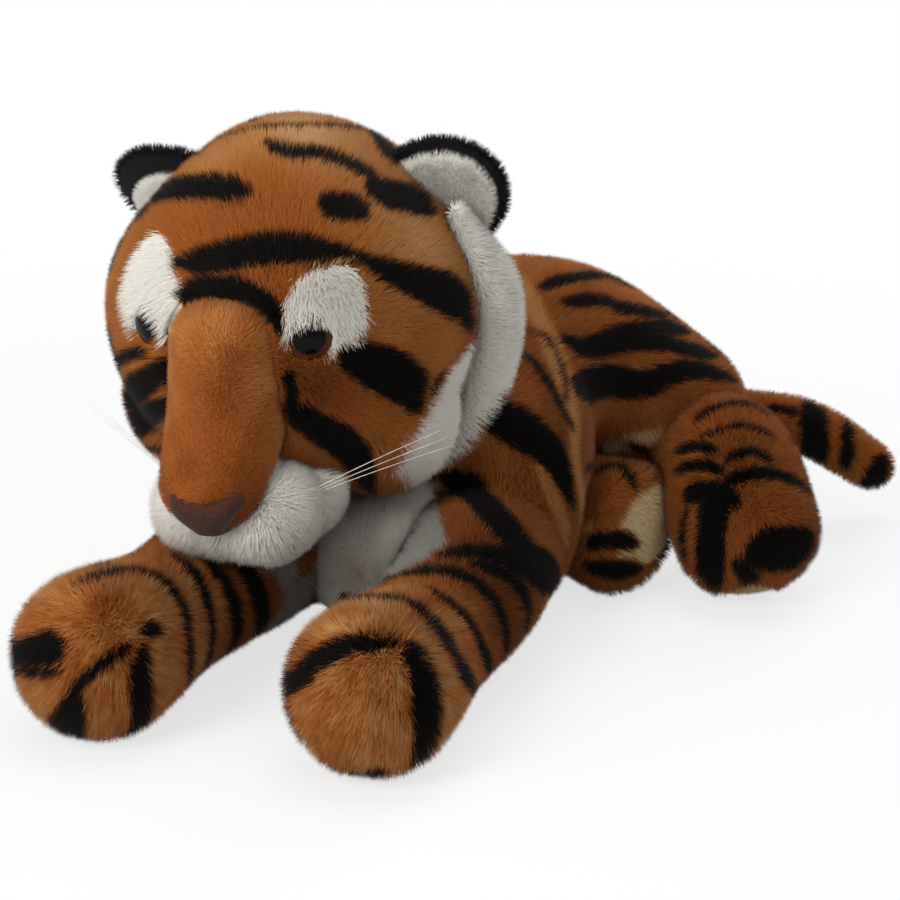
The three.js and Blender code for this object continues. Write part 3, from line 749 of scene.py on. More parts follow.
class Marks:
    """Stripes as lines with a width, and patches as outlines, on the pile of one body."""

    def __init__(self, name, body):
        self.name, self.body, self.lines, self.patches = name, body, [], []
        self.crossed = ["head"] if name == "head" else [other for other in bodies if other != "head"]
        self.fuller = FULLER_SHARES.get(name, LIMB_FULLER_SHARE)
        self.extra = EXTRA_PIXELS.get(name, 1.0)

    def stripe(self, pixels, width, tone=BLACK, over=False):
        """A stripe of the photograph, on every body that it crosses; a dark one is copied to the hidden side.

        With over, its last end is joined to the end of the copy over the back.
        """
        points = cast([bodies[other] for other in self.crossed], pixels)
        if len(points) < 2:
            return
        scale = ((cam_at - points) @ cam_back) / FOCAL
        width = np.atleast_1d(width)
        widths = np.interp(np.linspace(0, 1, len(points)), np.linspace(0, 1, len(width)), width)
        widths = widths * self.fuller + self.extra
        for other in self.crossed:
            marks[other].line(points, widths * scale, tone)
        if tone > DARK:
            return
        copy = far_sides[self.name](points)
        self.line(copy, widths * scale, tone, hidden=True)
        if over:
            shares = np.linspace(0, 1, len(CROSSING_SHARES))[:, None]
            join = points[-1] * (1 - shares) + copy[-1] * shares + [0, 0, CROSSING_LIFT]
            join = join + CROSSING_BOW * np.sin(np.pi * shares) * [0, 1, 0]
            self.line(self.snap(join), widths[-1] * scale[-1] * CROSSING_SHARES, tone, hidden=True)

    def bar(self, points, width):
        """A black bar where the photograph shows nothing."""
        self.line(self.snap(points), width * BAR_SHARES, BLACK, hidden=True)

    def snap(self, points):
        """The nearest places on the pile."""
        return np.array([self.body.tip_tree.find_nearest(Vector(p))[0] for p in points])

    def line(self, points, widths, tone, hidden=False):
        shares = np.linspace(0, 1, 4 * len(points))
        straight = len(points) == 2
        fine = points[0] + (points[1] - points[0]) * shares[:, None] if straight else spline(points, shares)
        wide = np.interp(shares, np.linspace(0, 1, len(points)), widths)
        taper = np.minimum(1, 0.5 + 4 * np.minimum(shares, 1 - shares))
        self.lines.append((fine, wide * taper / 2, tone, hidden))

    def patch(self, pixels, tone, names):
        """A patch of the photograph, on the pile of the named bodies."""
        points = cast([bodies[other] for other in names], pixels)
        for other in names:
            marks[other].patches.append((points, tone))

    def tone(self, tips, base, jitter, facing):
        """The palette place of strands with these tips. Hidden lines stay off what faces the camera."""
        tone = base.copy()
        for points, value in self.patches:
            centre = points.mean(0)
            flat = np.linalg.svd(points - centre)[2][:2]
            spread = (tips - centre) @ flat.T + jitter[:, :2] * PATCH_BLUR
            inside = in_outline(spread, (points - centre) @ flat.T)
            far_out = 1.3 * np.linalg.norm(points - centre, axis=1).max()
            near = np.linalg.norm(tips - centre, axis=1) < far_out
            tone = np.where(inside & near, value, tone)
        edge = 0.55 * jitter[:, 2] + 0.45 * noise(tips, 2.6, 31)[:, 0]
        for points, half, value, hidden in self.lines:
            reach = half.max() + 2
            low, high = points.min(0) - reach, points.max(0) + reach
            near = np.where(((tips > low) & (tips < high)).all(1))[0]
            if not len(near):
                continue
            p = tips[near]
            best = np.full(len(p), 1e3)
            for a, b, ra, rb in zip(points[:-1], points[1:], half[:-1], half[1:]):
                d = b - a
                t = np.clip(((p - a) @ d) / max(d @ d, 1e-9), 0, 1)
                away = np.linalg.norm(p - a - t[:, None] * d, axis=1) - (ra + (rb - ra) * t)
                best = np.minimum(best, away)
            share = np.clip((0.5 + edge[near] - best) / STRIPE_BLUR, 0, 1) ** 0.7
            if hidden:
                share *= facing[near] < SEEN_FROM
            tone[near] += (value - tone[near]) * share
        return tone


def in_outline(points, outline):
    inside = np.zeros(len(points), bool)
    for a, b in zip(outline, np.roll(outline, -1, 0)):
        crosses = (a[1] > points[:, 1]) != (b[1] > points[:, 1])
        x = a[0] + (points[:, 1] - a[1]) / (b[1] - a[1] + 1e-12) * (b[0] - a[0])
        inside ^= crosses & (points[:, 0] < x)
    return inside


def across_path(path, body):
    """A function that copies points to the other side of a swept form."""
    shares = np.linspace(0, 1, 60)
    line, tangents = spline(path, shares), along(path, shares)
    lateral = unit(np.cross(tangents, [0, 0, 1]))

    def copy(points):
        nearest = np.argmin(((points[:, None] - line) ** 2).sum(2), 1)
        off = ((points - line[nearest]) * lateral[nearest]).sum(1, keepdims=True)
        flipped = points - 2 * off * lateral[nearest]
        return np.array([body.tip_tree.find_nearest(Vector(p))[0] for p in flipped])

    return copy


def across_head(points):
    return from_head(to_head(points) * [-1, 1, 1])


marks = {name: Marks(name, body) for name, body in bodies.items()}
far_sides = {name: across_path(limb["path"], bodies[name]) for name, limb in limbs.items()}
far_sides.update(torso=across_path(torso_path, bodies["torso"]), head=across_head)
for name, stripes in STRIPES.items():
    for stripe in stripes:
        marks[name].stripe(*stripe)
for pixels in HEAD_PATCHES.values():
    marks["head"].patch(pixels, WHITE, ["head"])
for pixels in BIB_PATCHES.values():
    marks["torso"].patch(pixels, BIB, marks["torso"].crossed)
marks["torso"].patch(FLANK_PATCH, PALE, ["torso"])

# Broken bars on each side of the back of the head: height and both ends in degrees, and width in millimetres
HEAD_BARS = [(66, 40, 150, 4.5), (44, 75, 165, 6), (22, 95, 172, 5)]
HEAD_BARS += [(0, 100, 160, 6.5), (-22, 112, 170, 5), (-44, 105, 150, 5)]
for height, first, last, width in HEAD_BARS:
    for _, side in SIDES:
        turns = np.radians(np.linspace(first, last, len(BAR_SHARES)))
        lift = np.radians(height + 5 * np.sin(3 * turns + height))
        way = np.stack([side * np.sin(turns) * np.cos(lift), -np.cos(turns) * np.cos(lift), np.sin(lift)], 1)
        marks["head"].bar(from_head(way * HEAD / 2), width)
# Bars on the far shoulder: share of the torso's path, both ends in degrees, and width in millimetres
SHOULDER_BARS = [(0.0, 25, 115, 4.5), (0.13, 35, 130, 5.5), (0.27, 75, 140, 4.5)]
SHOULDER_REACH = 45
for share, first, last, width in SHOULDER_BARS:
    turns = np.radians(np.linspace(first, last, len(BAR_SHARES)))[:, None]
    way = np.sin(turns) * [-1, 0, 0] + np.cos(turns) * [0, 0, 1] + 0.12 * np.sin(3 * turns) * [0, 1, 0]
    marks["torso"].bar(spline(torso_path, [share]) + SHOULDER_REACH * way, width)

DENSITY, HEAD_DENSITY = 7.2, 8.2
STRAND, STRAND_WIDTH = 4.6, 0.235
FLOOR_GAP = 0.35
PIECE_STRANDS = 65000
# Places in the map: palette places stay inside it, and roots and tips lie at its ends with the hide between
PLACE_FROM, PLACE_TO = 0.01, 0.99
ROOT_PLACE, TIP_PLACE, HIDE_PLACE = 0.02, 0.98, 0.3
# How strands vary: size in millimetres, seed and strength of each drift, and spreads of the rest, with
# degrees for the lean; then how strong a comb lays strands down in full, and the least that any comb does
WIDE_DRIFT, FINE_DRIFT, GATHER, LEAN_DRIFT = (10, 3, 0.3), (2.8, 5, 0.22), (2.2, 11, 0.2), (6, 9, 5)
COMB_SPREAD, LEAN_SPREAD, LENGTH_SPREAD, TWIST_SPREAD = 0.26, 8, 0.07, 0.35
FULL_COMB, LEAST_FLOW = 0.6, 0.2
# Corners at a strand's root: turns in radians, how far out as a share of its width, and how they are shaded
CORNER_TURNS, CORNER_OUT = (0.5, 2.6, 4.7), 0.58
SHADED_UP, SHADED_OUT = 0.62, 0.38
SHARE = 1.0


def sample(body, density, use):
    """Random roots, with their normals, on the faces of a hide that have a point in use."""
    corners = body.points[body.tris]
    normals = body.normals[body.tris]
    keep = use[body.tris].any(1)
    corners, normals = corners[keep], normals[keep]
    across = np.cross(corners[:, 1] - corners[:, 0], corners[:, 2] - corners[:, 0])
    area = np.linalg.norm(across, axis=1) / 2
    count = int(area.sum() * density * SHARE)
    at = np.searchsorted(np.cumsum(area) / area.sum(), rng.random(count))
    at = np.minimum(at, len(area) - 1)
    u, v = rng.random(count), rng.random(count)
    over = u + v > 1
    u[over], v[over] = 1 - u[over], 1 - v[over]
    share = np.stack([1 - u - v, u, v], 1)[..., None]
    return (corners[at] * share).sum(1), unit((normals[at] * share).sum(1))


def drifting(points, size, seed, share):
    return noise(points, size, seed) * share


class Strands:
    """Many short strands on a hide, each with a root and a tip."""

    def __init__(self, roots, normals, length, lean, comb, width, clump=1.0):
        count = len(roots)
        comb = comb - normals * (comb * normals).sum(1, keepdims=True)
        flow = np.clip(np.linalg.norm(comb, axis=1) / FULL_COMB, LEAST_FLOW, 1)
        drift = drifting(roots, *WIDE_DRIFT) + drifting(roots, *FINE_DRIFT) * clump
        comb = unit(unit(comb) + drift + rng.normal(0, COMB_SPREAD, (count, 3)))
        comb = unit(comb - normals * (comb * normals).sum(1, keepdims=True))
        wander = drifting(roots, *LEAN_DRIFT)[:, 0] + rng.normal(0, LEAN_SPREAD, count)
        lean = np.radians(np.asarray(lean) * flow + wander)[:, None]
        length = (length * (0.72 + 0.28 * flow) * (1 + rng.normal(0, LENGTH_SPREAD, count)))[:, None]
        low = normals * np.cos(0.5 * lean) + comb * np.sin(0.5 * lean)
        high = normals * np.cos(1.3 * lean) + comb * np.sin(1.3 * lean)
        gather = drifting(roots, *GATHER) * clump
        self.roots, self.normals = roots, normals
        self.mids = roots + low * length * 0.5 + gather * 0.35
        self.tips = self.mids + high * length * 0.5 + gather
        self.width = np.broadcast_to(width, (count,)) * (0.8 + 0.4 * rng.random(count))
        side = np.cross(high, normals)
        twist = rng.normal(0, TWIST_SPREAD, (count, 1))
        self.side = unit(unit(side) * np.cos(twist) + normals * np.sin(twist))
        for part in (self.mids, self.tips):
            part[:, 2] = np.maximum(part[:, 2], FLOOR_GAP)


def take(s, mask):
    """Some of the strands."""
    part = object.__new__(Strands)
    for key, values in vars(s).items():
        setattr(part, key, values[mask])
    return part


def scaled(s, share):
    """The same strands with another length."""
    s.mids = s.roots + (s.mids - s.roots) * share
    s.tips = s.roots + (s.tips - s.roots) * share
    return s


def needles(name, s, tone, material, body):
    """Strands as thin three-sided spikes, in pieces of a size that the export keeps whole."""
    pieces = []
    count = len(s.roots)
    parts = max(1, math.ceil(count / PIECE_STRANDS))
    order = np.argsort(s.roots[:, 1], kind="stable")
    for k, pick in enumerate(np.array_split(order, parts)):
        n = len(pick)
        run = unit(s.tips[pick] - s.roots[pick])
        side = unit(s.side[pick] - run * (s.side[pick] * run).sum(1, keepdims=True))
        other = np.cross(run, side)
        corners = [side * math.cos(turn) + other * math.sin(turn) for turn in CORNER_TURNS]
        half = s.width[pick, None] * CORNER_OUT
        points = np.stack([s.roots[pick] + corner * half for corner in corners] + [s.tips[pick]], 1)
        shades = [unit(SHADED_UP * s.normals[pick] + SHADED_OUT * corner) for corner in corners]
        shade = np.stack([*shades, unit(s.normals[pick] + 0.5 * run)], 1)
        mesh = bpy.data.meshes.new(name)
        mesh.vertices.add(n * 4)
        mesh.vertices.foreach_set("co", to_row(points.reshape(-1, 3)).astype(np.float32).ravel())
        mesh.loops.add(n * 9)
        sides = np.array([0, 1, 3, 1, 2, 3, 2, 0, 3])
        mesh.loops.foreach_set("vertex_index", (np.arange(n)[:, None] * 4 + sides).ravel().astype(np.int32))
        mesh.polygons.add(n * 3)
        mesh.polygons.foreach_set("loop_start", (np.arange(n * 3) * 3).astype(np.int32))
        mesh.polygons.foreach_set("use_smooth", np.ones(n * 3, bool))
        uv = np.empty((n, 9, 2), np.float32)
        uv[..., 0] = np.clip(tone[pick], PLACE_FROM, PLACE_TO)[:, None]
        uv[..., 1] = np.array([ROOT_PLACE, ROOT_PLACE, TIP_PLACE] * 3)
        mesh.uv_layers.new(name="OFBake").data.foreach_set("uv", uv.ravel())
        mesh.update(calc_edges=True)
        mesh.normals_split_custom_set_from_vertices(shade.reshape(-1, 3).astype(np.float32))
        mesh.materials.append(material)
        obj = link(bpy.data.objects.new(name if parts == 1 else f"{name}_{k + 1}", mesh))
        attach(obj, body)
        pieces.append(obj)
    return pieces


def set_places(mesh, places):
    """Writes the map that the materials read, from the places of the mesh's points in it."""
    loops = np.empty(len(mesh.loops), np.int32)
    mesh.loops.foreach_get("vertex_index", loops)
    mesh.uv_layers.new(name="OFBake").data.foreach_set("uv", places.astype(np.float32)[loops].ravel())


def hide_piece(body, tone, material, replaced):
    """The hide as a piece: the same palette as its pile, as dark as low on a strand."""
    mesh = body.mesh
    set_places(mesh, np.stack([np.clip(tone, PLACE_FROM, PLACE_TO), np.full(len(tone), HIDE_PLACE)], 1))
    mesh.materials.append(material)
    mesh.polygons.foreach_set("use_smooth", np.ones(len(mesh.polygons), bool))
    obj = link(bpy.data.objects.new(body.name, mesh))
    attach(obj, body.body)
    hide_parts(*replaced)


def facing_camera(points, normals):
    return (unit(cam_at - points) * normals).sum(1)


def buried(points, me, deep=11.0):
    """True where a point of one body lies deep inside another."""
    hidden = np.zeros(len(points), bool)
    for name, other in bodies.items():
        if name != me:
            todo = np.where(~hidden)[0]
            hidden[todo] |= other.depth_in(points[todo]) > deep
    return hidden


def base_tone(points, low, high, seed):
    """Rust to tan, drifting over the body."""
    slow = 0.5 + 0.5 * noise(points, 32, seed)[:, 0]
    quick = 0.5 + 0.5 * noise(points, 5, seed + 1)[:, 1]
    return low + (high - low) * np.clip(0.7 * slow + 0.3 * quick, 0, 1)


def path_comb(path, points):
    shares = np.linspace(0, 1, 40)
    line, tangents = spline(path, shares), along(path, shares)
    return tangents[np.argmin(((points[:, None] - line) ** 2).sum(2), 1)]


def grow_body(name, replaced, density, lean, comb, tones, dye_and_painted_shade, skip=None, longer=None):
    """The hide and pile of one stuffed body, in stripes; returns its strands and their palette places."""
    body = bodies[name]
    roots, normals = sample(body, density, ~buried(body.points, name))
    length = STRAND * body.pile / PILE * (longer(roots) if longer else 1)
    s = Strands(roots, normals, length, lean, comb(roots), STRAND_WIDTH)
    if skip:
        s = take(s, ~skip(s))
    jitter = rng.normal(0, 1, (len(s.roots), 3))
    base = dye_and_painted_shade(s.tips, base_tone(s.tips, *tones) + 0.05 * jitter[:, 0])
    run = s.tips - s.roots
    rise = (run * s.normals).sum(1, keepdims=True)
    dyed = s.roots + s.normals * body.pile + 0.6 * (run - s.normals * rise)
    tone = marks[name].tone(dyed, base, jitter, facing_camera(s.tips, s.normals))
    still = np.zeros((len(body.tips), 3))
    hide_base = dye_and_painted_shade(body.tips, base_tone(body.tips, *tones))
    hide_tone = marks[name].tone(body.tips, hide_base, still, facing_camera(body.tips, body.normals))
    hide_piece(body, hide_tone, striped, replaced)
    return s, tone


# Palette places where the pile counts as pale, as the bib's and as the brows' white
PALE_FROM, PALE_TO, BROW_FROM = 0.86, 0.96, 0.97
# Length of the pale pile against the striped pile's
BIB_SHARE, SOLE_SHARE, BELLY_SHARE = 1.15, 0.62, 0.6
# Torso: striped back, white belly and bib
BELLY = 0.93


def dye_torso(tips, base):
    white = (((tips - belly_at) / belly_half) ** 2).sum(1) + 0.05 * noise(tips, 3, 71)[:, 0] < 1.0
    return np.where(white, BELLY + 0.06 * noise(tips, 4, 72)[:, 0], base)


s, tone = grow_body(
    "torso",
    ["torso_back", "torso_stuffing"],
    DENSITY,
    25,
    lambda p: path_comb(torso_path, p) + [0, 0, -0.45],
    (RUST, ORANGE + 0.08, 41),
    dye_torso,
)
white = tone > PALE_FROM
needles("torso_pile", take(s, ~white), tone[~white], striped, "torso")
# The belly and bib take the middle of the white palette, greyer than the other white pile: their own white
# with painted shade
belly_tone_with_painted_shade = 0.47 + 1.2 * (tone[white] - PALE_FROM)
belly = scaled(take(s, white), BELLY_SHARE)
belly_pieces = needles("belly_pile", belly, belly_tone_with_painted_shade, white_pile, "torso")
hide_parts("belly_panel")

# Way that each sole looks, and half its width
SOLES = {"hindleg_left": ((0, 0, -1), 9.5), "hindleg_right": ((0.968, 0.23, 0.1), 13.2)}
SOLE = 0.9
# How far from a paw's middle its pile is mixed, combed down and longer, and over what width that fades;
# beyond the mixed reach a foreleg's pile is painted darker, as painted shade
PAW_MIX_AND_SHADE, PAW_COMBED, PAW_LONGER = (52, 20), (38, 14), (34, 12)


def grow_limb(name, limb):
    """A striped limb: forelegs have longer, mixed pile on the paw, painted shade further up and some bib
    drawn grey as painted shade, hind legs a cream sole.
    """
    foot = limb["path"][-1]
    front = name.startswith("foreleg")
    sole_axis, sole_half = SOLES.get(name, (None, 0))

    def near_foot(points, reach, fade):
        return np.clip((reach - np.linalg.norm(points - foot, axis=1)) / fade, 0, 1)

    def dye_and_painted_shade(tips, base):
        if not sole_axis:
            near = near_foot(tips, *PAW_MIX_AND_SHADE)
            mixed = 0.09 * noise(tips, 2.0, 91)[:, 0] + 0.09 * noise(tips, 7.0, 92)[:, 1]
            # Away from the paw a foreleg's pile is pushed 0.12 deeper on the palette: painted shade over the
            # upper leg
            return base + (near * (0.07 + mixed) - (1 - near) * 0.12) * front
        off = tips - foot
        forward = off @ np.array(sole_axis, float)
        aside = np.linalg.norm(off - np.outer(forward, sole_axis), axis=1)
        return np.where((forward > 0) & (aside < sole_half), SOLE, base)

    def comb(points):
        downward = 0.3 + (1.2 * near_foot(points, *PAW_COMBED) if front else 0)
        downward = downward * np.ones(len(points))
        return path_comb(limb["path"], points) - np.multiply.outer(downward, [0, 0, 1.0])

    def longer(points):
        return 1 + 0.2 * near_foot(points, *PAW_LONGER)

    stuffed = [name + "_skin", name + "_stuffing"]
    tones = (RUST + 0.04, TAN - 0.06 if front else ORANGE, 51)
    s, tone = grow_body(name, stuffed, DENSITY, 25, comb, tones, dye_and_painted_shade, longer=longer if front else None)
    pale = (tone > PALE_FROM) & (tone < PALE_TO)
    needles(name + "_pile", take(s, ~pale), tone[~pale], striped, name)
    if front:
        # The pale pile on a foreleg is the white bib, drawn low on the white palette so that it shows grey:
        # painted shade under the head
        part = scaled(take(s, pale), BIB_SHARE)
        bib_painted_shade_tone = 0.18 + 0.06 * rng.random(len(part.roots))
        needles(name + "_bib_pile", part, bib_painted_shade_tone, white_pile, name)
    if sole_axis:
        part = scaled(take(s, pale), SOLE_SHARE)
        sole_tone = rng.random(len(part.roots))
        soles = needles(name + "_sole_pile", part, sole_tone, cream_pile, name)
        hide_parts(name + "_sole")


for name, limb in limbs.items():
    grow_limb(name, limb)

# Head
eye_axes = {name: unit(np.array([side * 0.22, -0.35, 0.235])) for name, side in SIDES}
FACE_CENTRE = np.array([0, -70, 5])
EYE_CLEARING, BRIDGE_CLEARING, DEEP_IN_HEAD = 6.2, 2.8, 2.5
# Places on the head where the pile is paler or deeper: pixel, reach in millimetres and palette place
SHADES = [
    ((300, 128), 20, PALE),
    ((215, 160), 11, TAN + 0.04),
    ((415, 165), 12, TAN),
    ((432, 245), 20, TAN + 0.06),
    ((115, 250), 12, TAN - 0.04),
    ((450, 350), 9, TAN - 0.06),
    ((125, 390), 12, TAN - 0.04),
    ((320, 390), 12, RUST),
    ((400, 330), 12, ORANGE + 0.1),
    ((420, 440), 12, ORANGE + 0.06),
    ((240, 215), 22, ORANGE - 0.06),
]
shade_places = [(cast([bodies["head"]], [pixel])[0], reach, value) for pixel, reach, value in SHADES]
bridge_body = Body("bridge_hide", "head", bridge_forms(-2.0), 2.0, 1.0, 0.5)


def head_comb(points):
    return unit(to_head(points) - FACE_CENTRE) @ head_turn.T


def dye_head(tips, base):
    for place, reach, value in shade_places:
        share = 0.9 * np.exp(-((tips - place) ** 2).sum(1) / reach**2)
        base = base + (value - base) * share
    return base


def off_axis(points, axis):
    """How points lie from an eye's axis in the head's frame: forward along it, and away from it."""
    local = to_head(points)
    forward = local @ axis
    return forward, local - np.outer(forward, axis)


def near_face(s):
    """Strands that would stand in the bridge or in front of an eye."""
    out = np.zeros(len(s.roots), bool)
    for points in (s.tips, s.roots):
        out |= bridge_body.depth_in(points) > -BRIDGE_CLEARING
    for axis in eye_axes.values():
        forward, off = off_axis(s.roots, axis)
        aside = np.linalg.norm(off, axis=1)
        above = np.clip(off[:, 2] / np.maximum(aside, 1e-6), 0, 1)
        out |= (forward > 0) & (aside < EYE_CLEARING - above)
    return out


def steady(way):
    """A comb that points one way of the head's frame everywhere."""
    return lambda points: np.tile(np.array(way) @ head_turn.T, (len(points), 1))


s, tone = grow_body(
    "head",
    ["head_skin", "head_stuffing"],
    HEAD_DENSITY,
    24,
    head_comb,
    (RUST + 0.1, ORANGE + 0.04, 61),
    dye_head,
    skip=near_face,
)
brow = tone > BROW_FROM
LASH_AT, LASH_WIDE = 6.4, 2.2
needles("head_pile", take(s, ~brow), tone[~brow], striped, "head")
left_side = to_head(s.roots)[:, 0] > 0
for name, own in (("left", left_side), ("right", ~left_side)):
    part = take(s, brow & own)
    off = off_axis(part.roots, eye_axes[name])[1]
    aside = np.linalg.norm(off, axis=1)
    # The pile over an eye is longer and hangs on to it
    hang = np.exp(-(((aside - LASH_AT) / LASH_WIDE) ** 2)) * np.clip(off[:, 2] / aside, 0, 1)
    comb = steady([0, -0.35, -1.0])(part.roots)
    part = Strands(part.roots, part.normals, 4.8 + 2.6 * hang, 32 + 14 * hang, comb, 0.27, 0.6)
    brow_tone = 0.84 + 0.16 * rng.random(len(part.roots))
    pieces = needles("brow_pile_" + name, part, brow_tone, white_pile, "head")
    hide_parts("brow_patch_" + name)


def trimmed(name, body, density, length, lean, comb, width, tone, material, slot, clump, **more):
    """A small stuffed or padded piece on the head, with its own hide and pile.

    More can say which strands to skip, and the node where it isn't called like the piece.
    """
    inner = bodies["head"].depth_in(body.points) > DEEP_IN_HEAD
    roots, normals = sample(body, density, ~inner)
    if callable(length):
        length = length(roots)
    s = Strands(roots, normals, length, lean, comb(roots), width, clump)
    if "skip" in more:
        s = take(s, ~more["skip"](s))
    value = tone(s)
    hide_piece(body, np.full(len(body.points), 0.5), material, [more.get("node", name)])
    needles(name + "_pile", s, value, material, "head")


def random_tone(low, high):
    """Palette places that drift between low and high."""

    def tone(s):
        drift = 0.5 * noise(s.tips, 7, 81)[:, 0]
        return low + (high - low) * np.clip(0.5 + drift + rng.normal(0, 0.2, len(s.tips)), 0, 1)

    return tone


def bridge_tone(s):
    """Light, and deeper towards the nose."""
    toward_nose = np.clip((-to_head(s.tips)[:, 1] - 44) / 20, 0, 1)
    return random_tone(0.48, 1.0)(s) - 0.46 * toward_nose


trimmed(
    "bridge",
    bridge_body,
    density=8.5,
    length=2.5,
    lean=30,
    comb=steady([0, 1.0, 0.5]),
    width=0.22,
    tone=bridge_tone,
    material=shorn_pile,
    slot="shorn_plush",
    clump=0.5,
    node="muzzle_bridge",
)
WHISKER_SPOTS = [(279, 532), (296, 552), (190, 553), (262, 547), (312, 533)]


def grow_lip(name, side):
    """One side of the mouth, with the dark spots that whiskers grow from."""
    lip = Body("lip_" + name + "_hide", "head", lip_forms(side, -4.2), 4.2, 1.2, 0.5)
    spots = cast([lip], WHISKER_SPOTS, 0)

    def lip_tone(s):
        value = random_tone(0.75, 1.0)(s)
        for spot in spots:
            value = np.where(((s.tips - spot) ** 2).sum(1) < 0.65**2, 0.05, value)
        return value

    trimmed(
        "lip_" + name,
        lip,
        density=7.5,
        length=4.6,
        lean=34,
        comb=steady([side * 0.55, -0.43, -0.64]),
        width=0.28,
        tone=lip_tone,
        material=white_pile,
        slot="white_plush",
        clump=1.0,
        skip=lambda s: bridge_body.depth_in(s.roots) > 1.0,
    )


def grow_ruff(name, side):
    """The long white pile behind a cheek, short where it starts by the ear."""
    start = from_head(ruff_shares[0] * [side, 1, 1] * HEAD)
    hide_inset = 2.2 if side > 0 else 4.2
    trimmed(
        "cheek_ruff_" + name,
        Body("cheek_ruff_" + name + "_hide", "head", ruff_forms(side, -hide_inset), 3.0, 1.2, 0.5),
        density=6.5,
        length=lambda p: 5.2 * (0.4 + 0.6 * np.clip(np.linalg.norm(p - start, axis=1) / 18, 0, 1)),
        lean=36,
        comb=lambda p: 0.3 * unit(p - head_place) + np.array([side * 0.93, 0.32, -0.2]) @ head_turn.T,
        width=0.28,
        tone=random_tone(0.75, 1.0),
        material=white_pile,
        slot="white_plush",
        clump=0.8,
    )


# Width, height and place across and up of each ear's white front, in the ear's own frame
EAR_FRONTS = {"left": (31, 43, 0, 0), "right": (29, 38, -2.5, -2.5)}
EAR_BACK = (40, 9, 52)


def grow_ear(name):
    """A black back and a white front that lies on it."""
    mover = ear_mover(name)
    outer = placed(ball(*EAR_BACK, (0, 0, 0), -2.0, 48, 25), mover)
    wide, tall, aside, low = EAR_FRONTS[name]
    front = placed(ball(wide, 5, tall, (aside, -3.2, low), -0.4, 48, 25), mover)
    middle = mover([[0, 0, 0]])
    tip_way, back_way = mover([[0, 0, 1.0], [0, 1.0, 0]]) - middle
    trimmed(
        "ear_back_" + name,
        Body("ear_back_" + name + "_hide", "head", [outer], 2.0, 0.9, 0.5),
        density=8.0,
        length=2.6,
        lean=20,
        comb=lambda p: unit(p - middle[0]) + back_way * 0.3,
        width=0.24,
        tone=random_tone(0.0, 1.0),
        material=black_pile,
        slot="black_plush",
        clump=0.6,
        skip=lambda s: s.normals @ -back_way > 0.85,
    )
    trimmed(
        "ear_front_" + name,
        Body("ear_front_" + name + "_hide", "head", [front], 1.8, 0.9, 0.5),
        density=9.0,
        length=2.4,
        lean=36,
        comb=lambda p: np.tile(tip_way, (len(p), 1)),
        width=0.24,
        # The ear fronts' white is drawn lower on the white palette than the other white pile: painted shade
        tone=random_tone(0.6, 0.95),
        material=white_pile,
        slot="white_plush",
        clump=0.6,
    )


for name, side in SIDES:
    grow_lip(name, side)
    grow_ruff(name, side)
    grow_ear(name)

# Eyes: radius, rise and depth of the seat in the head, all in millimetres
EYE_RADIUS, EYE_RISE, EYE_SINK, EYE_BACK = 6.75, 4.2, 4.6, 1.2
EYE_SEGMENTS, EYE_ROWS, EYE_BACK_SHARE = 48, 14, 0.93


def eye_dome(name, axis):
    """A domed eye with a flat back; its palette place runs from the middle to the rim."""
    seat = axis * (HEAD / 2 - EYE_SINK)
    wide = unit(np.cross(axis, [0, 0, 1]))
    high = np.cross(wide, axis)
    count, rows = EYE_SEGMENTS, EYE_ROWS
    turns = 2 * np.pi * np.arange(count) / count
    around = wide * np.cos(turns)[:, None] + high * np.sin(turns)[:, None]
    angles = np.pi / 2 * np.arange(rows) / (rows - 1)
    rings = [seat + axis * EYE_RISE * math.sin(a) + around * EYE_RADIUS * math.cos(a) for a in angles]
    rings[-1] = rings[-1][:1]
    rings.append(seat - axis * EYE_BACK + around * EYE_RADIUS * EYE_BACK_SHARE)
    palette = [0.01 + 0.96 * math.cos(a) for a in angles] + [0.97]
    turn_share = 0.01 + 0.98 * np.arange(count) / count
    places = [np.stack([np.full(len(r), u), turn_share[: len(r)]], 1) for r, u in zip(rings, palette)]
    top = (rows - 1) * count
    base = top + 1
    faces = []
    for i in range(count):
        j = (i + 1) % count
        for a in range(0, top - count, count):
            faces.append((a + i, a + j, a + count + j, a + count + i))
        faces.append((top - count + i, top - count + j, top))
        faces.append((base + i, base + j, j, i))
    faces.append(tuple(base + i for i in reversed(range(count))))
    obj = make("eye_dome_" + name, from_head(np.vstack(rings)), faces, eye_gloss)
    set_places(obj.data, np.vstack(places))
    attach(obj, "head")
    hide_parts("eye_" + name)


for name, axis in eye_axes.items():
    eye_dome(name, axis)

# Nose: the right half of its outline, across and up from the tip of the bridge
NOSE_RIGHT = [(5, 4.6), (9.8, 4.6), (10.6, 1.6), (7.6, -2.2), (5.2, -5.4), (4.7, -9.8), (2.8, -12.8)]
NOSE_TOP, NOSE_BOTTOM = (0, 4.2), (0, -13.8)
NOSE_RINGS, NOSE_POINTS = 10, 96
NOSE_STANDS_OUT, NOSE_RIM_SINKS = 1.9, 1.2
NOSE_RAY_FROM = -140.0


